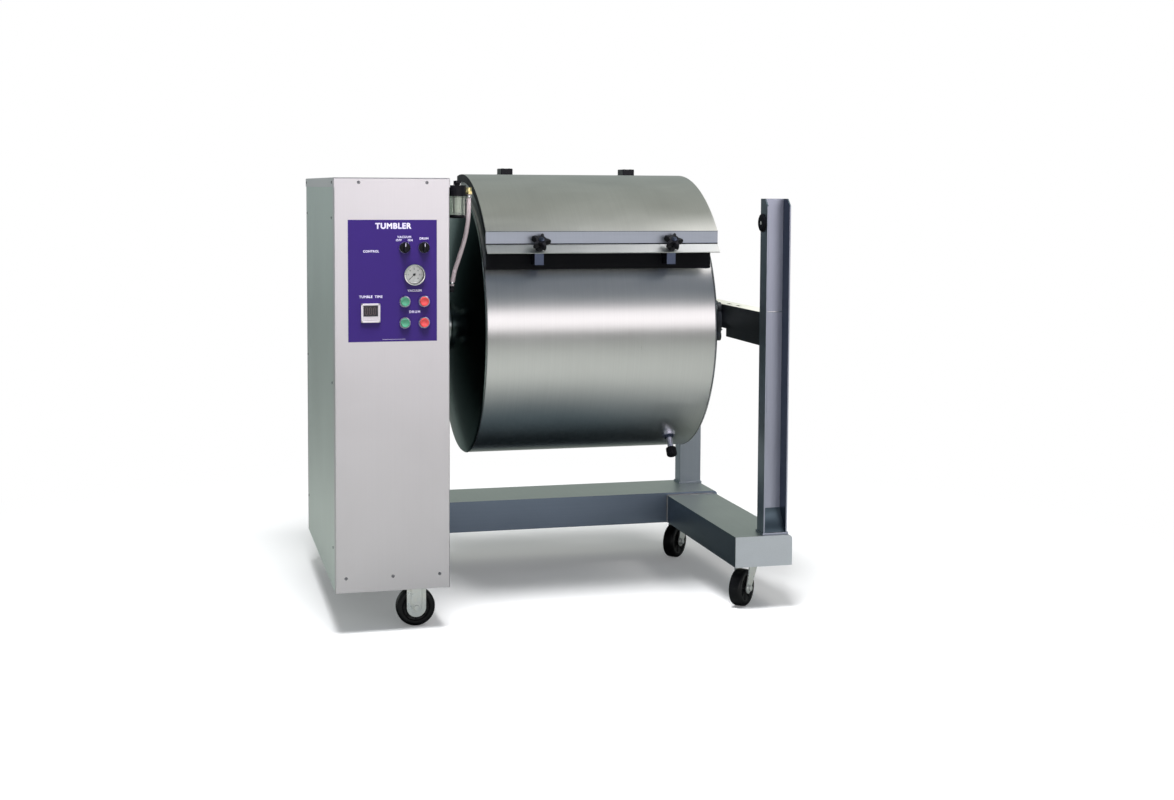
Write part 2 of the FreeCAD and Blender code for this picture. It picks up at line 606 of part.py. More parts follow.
def build_lid():
    lid_x = "drum_x - lid_over"
    lid_len = "drum_len + 2 * lid_over"
    skin = made(lid_profile_sheet(), (lid_x, "drum_y", "drum_z"))
    ends = []
    for start in (lid_x, f"{lid_x} + {lid_len} - wall"):
        band = drum_tube("lid_r - wall / 2", "lid_skirt_r", start, "wall", LID_AXIS)
        window = box((f"{start} - 5", "drum_y - lid_front + wall / 2", "drum_z"),
                     ("wall + 10", "lid_front + lid_rear - wall", 600))
        ends.append(common(band, window))
    stud_holes = [clamp_rod(x, -20, "stud_r + 1", 40) for x in ("clamp_a_x", "clamp_b_x")]
    node("lid_cover", cut(fuse(skin, *ends), *stud_holes))
    seal = common(cut(box(("drum_x + neck_end - 3", "drum_y - neck_front - 3", "drum_z + 150"),
                          ("drum_len - 2 * neck_end + 6", "neck_front + neck_rear + 6", 400)),
                      box(("drum_x + neck_end + 6", "drum_y - neck_front + 6", "drum_z + 100"),
                          ("drum_len - 2 * neck_end - 12", "neck_front + neck_rear - 12", 500))),
                  drum_tube("lid_r - wall", "neck_r + gap", height=LID_AXIS))
    node("lid_gasket", seal)
    build_hinges()
    build_clamps()


def build_hinges():
    """Two black knuckle blocks on the lid turn between stainless ears on the drum."""
    blocks = []
    ears = []
    pins = []
    pin_y, pin_z = "drum_y + hinge_y", "drum_z + hinge_z"
    lid_body = rod(("drum_x - 50", "drum_y", LID_AXIS), "lid_r", "drum_len + 100", ALONG_X)
    shell = rod(("drum_x - 50", "drum_y", "drum_z"), "drum_r", "drum_len + 100", ALONG_X)
    for x in ("clamp_a_x", "clamp_b_x"):
        slab = box((f"{x} - block_w / 2", f"{pin_y} - block_d", f"{pin_z} - 6"),
                   ("block_w", "block_d", "block_up + 6"))
        nose = rod((f"{x} - block_w / 2", pin_y, pin_z), "ear_r + 3", "block_w", ALONG_X)
        cheek = box((f"{x} - block_w / 2", f"{pin_y} - 1", pin_z), ("block_w", "ear_r + 4", "block_up"))
        bore = rod((f"{x} - block_w", pin_y, pin_z), "pin_r + run_gap", "2 * block_w", ALONG_X)
        behind = box((f"{x} - block_w", "drum_y + lid_rear", "drum_z + 300"),
                     ("2 * block_w", 200, 300))
        blocks.append(cut(fuse(slab, nose, cheek), cut(lid_body, behind), bore,
                          tail_clear(x)))
        for side in (-1, 1):
            ear_x = f"{x} + {side} * (block_w / 2 + 3.5) - 2.5"
            round_end = rod((ear_x, pin_y, pin_z), "ear_r", "5", ALONG_X)
            leg = box((ear_x, f"{pin_y} - ear_r", "drum_z + 200"),
                      ("5", "2 * ear_r", "hinge_z - 200"))
            hole = rod((f"{ear_x} - 5", pin_y, pin_z), "pin_r", "15", ALONG_X)
            ears.append(cut(fuse(round_end, leg), shell, hole))
        pins.append(rod((f"{x} - block_w / 2 - 8", pin_y, pin_z), "pin_r", "block_w + 16", ALONG_X))
    node("lid_hinge_blocks", group(*blocks))
    node("hinge_pins", group(*pins))
    node("drum_brackets", group(*ears, *clamp_lugs()))


def tail_clear(x):
    """The lid's rear edge, which the knuckle block fits over."""
    return box((f"{x} - block_w", "drum_y + lid_rear - wall", "drum_z + 380"),
               ("2 * block_w", "wall", "sqrt(lid_r ^ 2 - lid_rear ^ 2) - lid_drop - 380"))


CLAMP_TURN = FreeCAD.Rotation(X_AXIS, 45)
LIP_Y = "drum_y - lid_front - flare / 2"
LIP_Z = "drum_z + sqrt(lid_r ^ 2 - lid_front ^ 2) - lid_drop - strip - flare / 2"


def clamp_rod(x, start, radius, length):
    """A cylinder square to the flared lip, from a distance along it, zero on the lip's face."""
    return turned(rod(("0", "0", start), radius, length), CLAMP_TURN, (x, LIP_Y, LIP_Z))


def star_shape():
    """A five-lobed grip, from its base at Z = 0."""
    radius, thick = size("knob_r"), size("knob_t")
    grip = Part.makeCylinder(radius * 0.62, thick, VECTOR(0, 0, 0), Z_AXIS)
    for lobe in range(5):
        angle = math.radians(90 + 72 * lobe)
        reach = radius * 0.72
        spot = VECTOR(reach * math.cos(angle), reach * math.sin(angle), 0)
        grip = grip.fuse(Part.makeCylinder(radius - reach, thick, spot, Z_AXIS))
    return grip.removeSplitter()


def build_clamps():
    for x, side in (("clamp_a_x", "left"), ("clamp_b_x", "right")):
        stud = clamp_rod(x, -22, "stud_r", "22 + 16 + knob_t + 3")
        skirt = clamp_rod(x, "0.4", "stud_r + 6", "16")
        grip = made(star_shape(), ("0", "0", "16"))
        grip = turned(grip, CLAMP_TURN, (x, LIP_Y, LIP_Z))
        node(f"star_knob_{side}", fuse(stud, skirt, grip))


def clamp_lugs():
    """Blocks on the front wall of the neck that the clamp studs reach into."""
    lugs = []
    for x in ("clamp_a_x", "clamp_b_x"):
        lug = box((f"{x} - 12", "drum_y - neck_front - lug_reach", "drum_z + 184"), (24, "lug_reach", 34))
        hole = clamp_rod(x, -60, "lug_hole_r", 80)
        lugs.append(cut(lug, hole))
    return lugs


# ---------------------------------------------------------------- base and posts

def build_base():
    beam_x = CAB_RIGHT
    beam = box((beam_x, "beam_y", "floor_z"),
               (f"base_end - ({beam_x})", "beam_w", "beam_top - floor_z"))
    end = size("base_end")
    beam = rounded(beam, "edge_r", lambda e: at_corner(e, x=end) and e.CenterOfMass.z > 200)
    hollow = box((beam_x, "beam_y + plate_thick", "floor_z + plate_thick"),
                 (f"base_end - ({beam_x}) - plate_thick", "beam_w - 2 * plate_thick",
                  "beam_top - floor_z - 2 * plate_thick"))
    node("base_beam", cut(beam, hollow))
    foot_len = "beam_y - foot_y"
    foot = box(("foot_x", "foot_y", "floor_z"), ("foot_w", foot_len, "foot_top - floor_z"))
    right, top = size("foot_x") + size("foot_w"), size("foot_top")
    foot = rounded(foot, "edge_r", lambda e: at_corner(e, x=right, z=top))
    hollow = box(("foot_x + plate_thick", "foot_y + plate_thick", "floor_z + plate_thick"),
                 ("foot_w - 2 * plate_thick", "beam_y - foot_y - plate_thick",
                  "foot_top - floor_z - 2 * plate_thick"))
    node("foot_beam", cut(foot, hollow))
    front = post("front_post_y", "front_post_y + post_depth", "foot_top", 1)
    rear = post("rear_post_y + post_depth", "rear_post_y", "beam_top", -1)
    node("posts", group(front, rear))
    build_cross_beam()
    bumper = rod(("post_x - bumper_t", "bumper_y", "bumper_z"), "bumper_r", "bumper_t", ALONG_X)
    node("post_bumper", bumper)


def post(open_y, web_y, base_z, towards):
    """A channel with its open side at open_y and its web at web_y, on a base plate."""
    web = box(("post_x", f"{web_y} - (1 + {towards}) / 2 * post_t", base_z),
              ("post_w", "post_t", f"post_top - {base_z}"))
    low_y = open_y if towards > 0 else web_y
    walls = []
    for x in ("post_x", "post_x + post_w - post_t"):
        walls.append(box((x, low_y, base_z), ("post_t", "post_depth", f"post_top - {base_z}")))
    foot_plate = box(("post_x - 3", f"{low_y} - 3", base_z), ("post_w + 6", "post_depth + 6", 6))
    inner = "post_depth - post_t"
    if towards > 0:
        slope = (("0", "0"), (inner, "0"), (inner, "gusset"))
    else:
        slope = (("post_t", "0"), ("post_depth", "0"), ("post_t", "gusset"))
    gusset = profile("YZ_Plane", slope, "post_w - 2 * post_t", ("post_x + post_t", low_y, base_z))
    channel = fuse(web, foot_plate, gusset, *walls)
    slant = "chamfer * sqrt(2)"
    nip = box(("post_x - 10", open_y, "post_top - chamfer"), ("post_w + 20", slant, slant),
              FreeCAD.Rotation(X_AXIS, 45))
    return cut(channel, nip)


def build_cross_beam():
    front_y = "front_post_y + post_depth"
    rear_y = "rear_post_y"
    wall = "post_t"
    web = box(("post_x", front_y, "cross_mid"), (wall, f"{rear_y} - ({front_y})", "cross_top - cross_mid"))
    lid = box(("post_x", front_y, "cross_top - post_t"), ("cross_w", f"{rear_y} - ({front_y})", wall))
    parts = [web, lid]
    for start, length in ((front_y, f"drum_y - step - ({front_y})"),
                          ("drum_y + step", f"{rear_y} - (drum_y + step)")):
        parts.append(box(("post_x", start, "cross_low"), (wall, length, "cross_mid - cross_low + 1")))
        parts.append(box(("post_x", start, "cross_low"), ("cross_w", length, wall)))
    slots = [box(("post_x + 18", f"drum_y + {y}", "cross_top - 20"), (9, 30, 40))
             for y in (-150, -75, 45, 120)]
    shaft_hole = rod(("post_x - 10", "drum_y", "drum_z"), "shaft_r + 4", 100, ALONG_X)
    node("cross_beam", cut(fuse(*parts), shaft_hole, *slots))


def build_bearings():
    """A four-bolt flange bearing at each end of the drum's axis."""
    units = []
    for plate_x, hub_x, head_x in (
            (CAB_RIGHT, CAB_RIGHT, f"{CAB_RIGHT} + flange_t"),
            ("post_x - flange_t", "post_x - hub_deep", "post_x - flange_t - bolt_h")):
        plate = box((plate_x, "drum_y - flange_w / 2", "drum_z - flange_w / 2"),
                    ("flange_t", "flange_w", "flange_w"))
        hub = rod((hub_x, "drum_y", "drum_z"), "hub_r", "hub_deep", ALONG_X)
        bore = rod((f"{hub_x} - 60", "drum_y", "drum_z"), "shaft_r + run_gap / 2", 150, ALONG_X)
        bolts = [rod((head_x, f"drum_y + {y} * bolt_out", f"drum_z + {z} * bolt_out"), 8, "bolt_h", ALONG_X)
                 for y in (-1, 1) for z in (-1, 1)]
        units.append(cut(fuse(plate, hub, *bolts), bore))
    node("shaft_bearings", group(*units))


# ---------------------------------------------------------------- casters

def wheel(at, rotation):
    """A solid wheel with a raised hub, on an axle along its own Y."""
    rim = size("wheel_r")
    width = size("wheel_w")
    tread = Part.makeCylinder(rim, width, VECTOR(0, -width / 2, 0), Y_AXIS)
    shoulders = [e for e in tread.Edges if e.Curve.TypeId == "Part::GeomCircle"]
    tread = tread.makeFillet(5, shoulders)
    for side in (-1, 1):
        dent = Part.makeCylinder(rim - 14, 4, VECTOR(0, side * (width / 2 - 2) - 2, 0), Y_AXIS)
        hub = Part.makeCylinder(15, 4, VECTOR(0, side * (width / 2 - 2) - 2, 0), Y_AXIS)
        tread = tread.cut(dent.cut(hub))
    bore = Part.makeCylinder(size("axle_r") + 0.05, width + 20, VECTOR(0, -width / 2 - 10, 0), Y_AXIS)
    return made(tread.cut(bore), at, rotation)


def fork(trail):
    """Two legs and a bridge over the wheel, in the fork's own frame: axle at the origin."""
    fixed = trail == 0
    top = size("floor_z") - size("wheel_r")
    half = size("wheel_w") / 2 + 1.5
    leg = size("leg_t")
    plate_low = top - (leg if fixed else 3 * leg)
    shoulder = size("rigid_leg_w" if fixed else "swivel_leg_w") / 2
    tip = size("rigid_leg_w" if fixed else "swivel_tip_w") / 2
    reach = shoulder + 13 if fixed else shoulder
    shape = Part.makeBox(2 * reach, 2 * (half + leg), leg, VECTOR(trail - reach, -half - leg, plate_low))
    lean = VECTOR(trail, 0, plate_low).normalize()
    across = VECTOR(lean.z, 0, -lean.x) * tip
    for y in (half, -half - leg):
        corners = [across * -1, across, VECTOR(trail + shoulder, 0, plate_low),
                   VECTOR(trail - shoulder, 0, plate_low)]
        corners = [corner + VECTOR(0, y, 0) for corner in corners]
        wire = Part.makePolygon(corners + corners[:1])
        shape = shape.fuse(Part.Face(wire).extrude(VECTOR(0, leg, 0)))
        shape = shape.fuse(Part.makeCylinder(tip, leg, VECTOR(0, y, 0), Y_AXIS))
    hole = Part.makeCylinder(size("axle_r"), 100, VECTOR(0, -50, 0), Y_AXIS)
    return shape.cut(hole).removeSplitter()


def axle():
    reach = size("wheel_w") / 2 + 1.5 + size("leg_t")
    shape = Part.makeCylinder(size("axle_r"), 2 * reach + 6, VECTOR(0, -reach - 3, 0), Y_AXIS)
    for side in (-1, 1):
        start = reach if side > 0 else -reach - 5
        shape = shape.fuse(Part.makeCylinder(8, 5, VECTOR(0, start, 0), Y_AXIS))
    return shape.removeSplitter()


def build_casters():
    fixed = []
    for name, y in (("cabinet_front", "rigid_front_y"), ("cabinet_rear", "rigid_rear_y")):
        spot = ("rigid_x", y, "wheel_r")
        fixed.append(made(fork(0), spot))
        fixed.append(made(axle(), spot))
        node(f"wheel_{name}", wheel(spot, UPRIGHT))
    turn = FreeCAD.Rotation(Z_AXIS, 45)
    reach = f"trail * {math.sqrt(0.5)}"
    for name, y in (("front", "swivel_front_y"), ("rear", "swivel_rear_y")):
        spot = (f"swivel_x - {reach}", f"{y} - {reach}", "wheel_r")
        cheeks = made(fork(size("trail")), spot, turn)
        clear = rod(("swivel_x", y, 60), "stem_r + run_gap", 80)
        node(f"swivel_fork_{name}", group(cut(cheeks, clear), made(axle(), spot, turn)))
        node(f"wheel_foot_{name}", wheel(spot, turn))
        plate = box(("swivel_x - 48", f"{y} - 34", "floor_z - 3"), (96, 68, 3))
        race = rod(("swivel_x", y, "floor_z - 5.6"), 26, 2.6)
        king_pin = rod(("swivel_x", y, "floor_z - 13.4"), "stem_r", 12)
        washer = rod(("swivel_x", y, "floor_z - 13.4"), 12, 4)
        fixed.append(fuse(plate, race, king_pin, washer))
    node("caster_mounts", group(*fixed))


# ---------------------------------------------------------------- drive

def pitch_radius(teeth):
    return size("pitch") / 2 / math.sin(math.pi / teeth)


def sprocket(teeth, shaft_r, hub_r, start_angle):
    """A toothed disc about the X axis with a hub, its gaps round for the chain's rollers."""
    pitch_r = pitch_radius(teeth)
    thick = size("tooth_t")
    gap_r = size("roller_r") + 0.5
    disc = Part.makeCylinder(pitch_r + 3.2, thick, VECTOR(-thick / 2, 0, 0), X_AXIS)
    rollers = []
    for index in range(teeth):
        angle = start_angle + 2 * math.pi * index / teeth
        spot = VECTOR(-thick, pitch_r * math.sin(angle), pitch_r * math.cos(angle))
        rollers.append(Part.makeCylinder(gap_r, 2 * thick, spot, X_AXIS))
    hub = Part.makeCylinder(hub_r, thick + 22, VECTOR(-thick / 2 - 22, 0, 0), X_AXIS)
    bore = Part.makeCylinder(shaft_r, 200, VECTOR(-100, 0, 0), X_AXIS)
    return disc.cut(Part.makeCompound(rollers)).fuse(hub).cut(bore)


def belt_outline(low_r, high_r, spacing):
    """The closed outline round two circles, the smaller one below, about the X axis."""
    slope = math.asin((high_r - low_r) / spacing)
    across, up = math.cos(slope), -math.sin(slope)

    def point(radius, side, centre_z):
        return VECTOR(0, side * radius * across, centre_z + radius * up)
    high_right, high_left = point(high_r, 1, 0), point(high_r, -1, 0)
    low_right, low_left = point(low_r, 1, -spacing), point(low_r, -1, -spacing)
    edges = [
        Part.Arc(high_right, VECTOR(0, 0, high_r), high_left).toShape(),
        Part.LineSegment(high_left, low_left).toShape(),
        Part.Arc(low_left, VECTOR(0, 0, -spacing - low_r), low_right).toShape(),
        Part.LineSegment(low_right, high_right).toShape(),
    ]
    return Part.Face(Part.Wire(edges))


def chain_shape():
    """Two strands of side plates that flank the sprocket teeth."""
    spacing = size("drum_z") - size("drive_z")
    low_r, high_r = pitch_radius(DRIVE_TEETH), pitch_radius(DRIVEN_TEETH)
    half = 5.5
    outline = belt_outline(low_r + half, high_r + half, spacing)
    inside = belt_outline(low_r - half, high_r - half, spacing)
    band = outline.cut(inside)
    side_gap = size("tooth_t") / 2 + 0.5
    plates = [band.extrude(VECTOR(1.6, 0, 0)) for _ in range(2)]
    plates[0].translate(VECTOR(side_gap, 0, 0))
    plates[1].translate(VECTOR(-side_gap - 1.6, 0, 0))
    return Part.makeCompound(plates)


def build_drive():
    box_x = "drive_x - 40 - 90"
    gearbox = box((box_x, "drum_y - gearbox_w / 2", "drive_z - gearbox_w / 2"),
                  (90, "gearbox_w", "gearbox_w"))
    flange = rod((f"{box_x} + 90", "drum_y", "drive_z"), 42, 8, ALONG_X)
    bore = rod((box_x, "drum_y", "drive_z"), "out_r + run_gap / 2", 200, ALONG_X)
    node("gearbox", cut(fuse(gearbox, flange), bore))
    motor = rod(("drive_x - 85", "drum_y + gearbox_w / 2", "drive_z"), 55, 190, ALONG_Y)
    terminal = box(("drive_x - 115", "drum_y + gearbox_w / 2 + 50", "drive_z + 40"), (60, 80, 45))
    node("drive_motor", fuse(motor, terminal))
    output = rod((box_x, "drum_y", "drive_z"), "out_r", 145, ALONG_X)
    low = made(sprocket(DRIVE_TEETH, size("out_r"), 20, 0), ("drive_x", "drum_y", "drive_z"))
    node("drive_sprocket", group(low, output))
    high = sprocket(DRIVEN_TEETH, size("shaft_r"), 32, 0)
    node("driven_sprocket", made(high, ("drive_x", "drum_y", "drum_z")))
    node("drive_chain", made(chain_shape(), ("drive_x", "drum_y", "drum_z")))
    pump = box(("cab_x + 70", "cab_y + 510", "floor_z + floor_t + 12"), (140, 110, 150))
    pump_motor = rod(("cab_x + 140", "cab_y + 620", "floor_z + floor_t + 92"), 62, 150, ALONG_Y)
    feet = [box(("cab_x + 70", f"cab_y + {y}", "floor_z + floor_t"), (140, 30, 36))
            for y in (510, 580, 720)]
    node("vacuum_pump", fuse(pump, pump_motor, *feet))


# ---------------------------------------------------------------- vacuum line

HOSE_ROUTE = (
    (-260, -335, 1126), (-260, -335, 1092), (-261, -329, 1057), (-264.5, -318, 1021),
    (-272, -306, 986), (-281.5, -297, 952), (-292, -290, 918), (-297, -290, 886),
)


def tube_along(points, radius):
    """A tube of straight runs joined by tangent arcs as large as the runs leave room for."""
    spots = [VECTOR(*point) for point in points]
    edges = []
    start = spots[0]
    for before, corner, after in zip(spots, spots[1:], spots[2:]):
        back = (before - corner)
        ahead = (after - corner)
        reach = 0.45 * min(back.Length, ahead.Length)
        back.normalize()
        ahead.normalize()
        entry = corner + back * reach
        leave = corner + ahead * reach
        half_turn = (math.pi - back.getAngle(ahead)) / 2
        arc_radius = reach / math.tan(half_turn)
        middle_way = (back + ahead).normalize()
        centre = corner + middle_way * (arc_radius / math.cos(half_turn))
        crest = centre - middle_way * arc_radius
        edges.append(Part.LineSegment(start, entry).toShape())
        edges.append(Part.Arc(entry, crest, leave).toShape())
        print("hose bend radius", round(arc_radius, 1))
        start = leave
    edges.append(Part.LineSegment(start, spots[-1]).toShape())
    path = Part.Wire(edges)
    circle = Part.Wire(Part.makeCircle(radius, spots[0], spots[1] - spots[0]))
    tube = path.makePipeShell([circle], True, False)
    print("hose length", round(path.Length, 1),
          "volume ratio", round(tube.Volume / (math.pi * radius ** 2 * path.Length), 4))
    return tube


def build_vacuum_line():
    head_z = "filter_z + bowl_h"
    bowl = rod(("filter_x", "filter_y", "filter_z"), "bowl_r", "bowl_h")
    hollow = rod(("filter_x", "filter_y", "filter_z + 3"), "bowl_r - 2.5", "bowl_h")
    node("filter_bowl", cut(bowl, hollow))
    head = rod(("filter_x", "filter_y", head_z), "bowl_r + 1.5", "head_h")
    port_z = f"{head_z} + head_h / 2"
    pipe = rod((f"{CAB_RIGHT} - 20", "filter_y", port_z), 6, f"filter_x - ({CAB_RIGHT}) + 20", ALONG_X)
    stem = rod(("filter_x", "filter_y", f"{head_z} + head_h"), 5, 4)
    node("filter_head", fuse(head, pipe, stem))
    collar = rod(("filter_x", "filter_y", f"{head_z} + head_h + gap"), 9, 11)
    lever = box(("filter_x - 5", "filter_y - 30", f"{head_z} + head_h + 5"), (10, 30, 7))
    clear = rod(("filter_x", "filter_y", f"{head_z} + head_h"), "5 + run_gap", 5)
    node("valve_handle", cut(fuse(collar, lever), clear))
    elbow_x = HOSE_ROUTE[0][0]
    arm = rod(("filter_x + bowl_r", HOSE_ROUTE[0][1], port_z), 7,
              f"{elbow_x} - filter_x - bowl_r", ALONG_X)
    drop = rod((elbow_x, HOSE_ROUTE[0][1], HOSE_ROUTE[0][2]), 7, f"{port_z} + 8 - {HOSE_ROUTE[0][2]}")
    end_x, end_y, end_z = HOSE_ROUTE[-1]
    barb = rod((f"{CAB_RIGHT} - 20", "barb_y", "barb_z"), 6, f"{end_x} + 6 - ({CAB_RIGHT}) + 20", ALONG_X)
    riser = rod((end_x, end_y, "barb_z - 6"), 6, f"{end_z} - 1 - barb_z + 6")
    head_body = rod(("filter_x", "filter_y", head_z), "bowl_r + 1.5", "head_h")
    node("hose_fittings", group(cut(fuse(arm, drop), head_body), fuse(barb, riser)))
    node("vacuum_hose", made(tube_along(HOSE_ROUTE, size("hose_r"))))


def build_gland():
    """Cable gland in the cabinet floor: a threaded body, two nuts and a dome nut below."""
    x, y = "cab_x + gland_x", "cab_y + gland_y"
    body = rod((x, y, "floor_z - 10"), "gland_r", 25)
    lower_nut = rod((x, y, "floor_z - 8"), "gland_r + 4", 8)
    upper_nut = rod((x, y, "floor_z + floor_t"), "gland_r + 4", 5)
    dome = taper((x, y, "floor_z - 22"), "gland_r", "gland_r + 3", 14)
    bore = rod((x, y, "floor_z - 30"), "cord_r", 60)
    node("cable_gland", cut(fuse(body, lower_nut, upper_nut, dome), bore))


build_cabinet()
build_controls()
build_drum()
build_lid()
build_base()
build_bearings()
build_casters()
build_drive()
build_vacuum_line()
build_gland()
doc.recompute()


def check_document():
    failed = [item.Label for item in doc.Objects if {"Invalid", "Error"} & set(item.State)]
    if failed:
        raise RuntimeError("failed to compute: " + ", ".join(failed))
    for item in nodes:
        if item.Shape.isNull() or not item.Shape.isValid() or not item.Shape.Solids:
            raise RuntimeError("no valid solid in " + item.Label)
    labels = [item.Label for item in nodes]
    if len(set(labels)) != len(labels):
        raise RuntimeError("two nodes share a label")


check_document()
os.makedirs("parts", exist_ok=True)
for item in nodes:
    item.Shape.exportStep(f"parts/{item.Label}.step")
whole = FreeCAD.BoundBox()
for item in nodes:
    whole.add(item.Shape.BoundBox)
print(len(nodes), "nodes; X", round(whole.XMin, 1), round(whole.XMax, 1), "Y", round(whole.YMin, 1),
      round(whole.YMax, 1), "Z", round(whole.ZMin, 1), round(whole.ZMax, 1))
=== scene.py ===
import json
import math

import bmesh
import bpy
from mathutils import Matrix, Vector


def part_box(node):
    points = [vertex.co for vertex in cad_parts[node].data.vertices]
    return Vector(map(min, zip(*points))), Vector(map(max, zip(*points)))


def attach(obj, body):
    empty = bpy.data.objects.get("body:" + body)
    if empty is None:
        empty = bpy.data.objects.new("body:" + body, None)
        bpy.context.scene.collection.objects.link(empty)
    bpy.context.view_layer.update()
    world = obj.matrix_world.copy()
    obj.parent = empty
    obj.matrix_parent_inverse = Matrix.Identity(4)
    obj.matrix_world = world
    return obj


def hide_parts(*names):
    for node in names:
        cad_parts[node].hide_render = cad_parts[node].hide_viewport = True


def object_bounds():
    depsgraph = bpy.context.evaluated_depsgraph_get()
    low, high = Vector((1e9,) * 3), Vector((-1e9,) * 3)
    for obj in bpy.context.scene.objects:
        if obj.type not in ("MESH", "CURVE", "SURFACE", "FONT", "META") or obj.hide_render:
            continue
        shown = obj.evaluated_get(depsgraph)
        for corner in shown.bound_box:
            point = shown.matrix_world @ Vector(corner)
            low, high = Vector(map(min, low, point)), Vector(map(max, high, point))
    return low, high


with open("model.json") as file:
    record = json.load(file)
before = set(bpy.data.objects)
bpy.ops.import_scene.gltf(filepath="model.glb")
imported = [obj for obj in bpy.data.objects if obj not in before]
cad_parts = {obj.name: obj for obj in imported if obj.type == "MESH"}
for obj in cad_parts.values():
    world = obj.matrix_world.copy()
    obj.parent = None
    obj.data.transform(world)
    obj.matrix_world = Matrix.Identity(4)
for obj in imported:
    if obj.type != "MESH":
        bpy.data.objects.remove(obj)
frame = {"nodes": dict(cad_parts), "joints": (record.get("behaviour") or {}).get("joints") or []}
cad_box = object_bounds()
scene = bpy.context.scene
NODES = frame["nodes"]
JOINTS = {j["name"]: j for j in frame["joints"]}
MM = 0.001
WELD_STEP = 0.0025
X, Y, Z = Vector((1, 0, 0)), Vector((0, 1, 0)), Vector((0, 0, 1))


def add(name, data):
    """A new object in the scene."""
    obj = bpy.data.objects.new(name, data)
    scene.collection.objects.link(obj)
    return obj


# ---- camera

def camera():
    """The photograph's angle: from the front left, a little above the machine's top."""
    data = bpy.data.cameras.new("camera")
    obj = add("camera", data)
    yaw, pitch, roll = math.radians(14.677), math.radians(3.818), 0.0049
    ahead = Vector((math.sin(yaw) * math.cos(pitch), math.cos(yaw) * math.cos(pitch), -math.sin(pitch)))
    right = Vector((math.cos(yaw), -math.sin(yaw), 0))
    up = right.cross(ahead)
    right, up = right * math.cos(roll) + up * math.sin(roll), up * math.cos(roll) - right * math.sin(roll)
    turn = Matrix((right, up, -ahead)).transposed().to_4x4()
    obj.matrix_world = Matrix.Translation((-1.0162, -4.4342, 1.1452)) @ turn
    data.sensor_width = 36
    data.lens = 49.183
    data.shift_y = -0.09
    scene.camera = obj


camera()


# ---- materials

class Nodes:
    """A node tree, with short ways to fill it."""

    def __init__(self, owner, clear=False):
        owner.use_nodes = True
        self.tree = owner.node_tree
        if clear:
            self.tree.nodes.clear()

    def link(self, source, target):
        self.tree.links.new(source.outputs[0] if hasattr(source, "outputs") else source, target)

    def node(self, kind, *sources, **values):
        """A node with its settings and values, and its first inputs linked to the sources."""
        made = self.tree.nodes.new(kind)
        for key, value in values.items():
            if hasattr(made, key):
                setattr(made, key, value)
            else:
                made.inputs[key.replace("_", " ")].default_value = value
        for source, target in zip(sources, made.inputs):
            self.link(source, target)
        return made

    def math(self, what, a, b=0.0, c=0.0, clamp=False):
        node = self.node("ShaderNodeMath", operation=what, use_clamp=clamp)
        for socket, value in zip(node.inputs, (a, b, c)):
            if isinstance(value, (int, float)):
                socket.default_value = value
            else:
                self.link(value, socket)
        return node.outputs[0]

    def mixed(self, a, b, factor):
        """Colour a turning into colour b."""
        node = self.node("ShaderNodeMix", factor, data_type="RGBA")
        node.inputs[6].default_value = (*a, 1)
        node.inputs[7].default_value = (*b, 1)
        return node.outputs[2]

    def noise(self, place, scale, detail, rough, warp=0.0):
        """Noise from -1 to 1, stretched by a scale per metre, one for all axes or one along each."""
        stretch = self.node("ShaderNodeMapping", place)
        stretch.inputs["Scale"].default_value = scale if isinstance(scale, tuple) else (scale,) * 3
        grain = self.node("ShaderNodeTexNoise", stretch, Scale=1.0, Detail=detail, Roughness=rough,
                          Distortion=warp)
        return self.math("MULTIPLY_ADD", grain.outputs["Fac"], 4.0, -2.0)


LOOKS = {}
UPRIGHT, ALONG, DEEP = (320, 320, 2.0), (2.0, 320, 320), (320, 2.0, 320)    # ways that the grain runs
ROUND = (420, 2.0, 2.0)
CASTING, PANEL = (4, 6, 6), (3, 3, 2)
ACROSS = (1.0, 0.031, 0.017)        # the highlights' tangent: along the drum, a little off its axis
SHADE_FADE_HEIGHT = 1.1     # metres up, over which the painted shade at a panel's foot fades out to its full colour
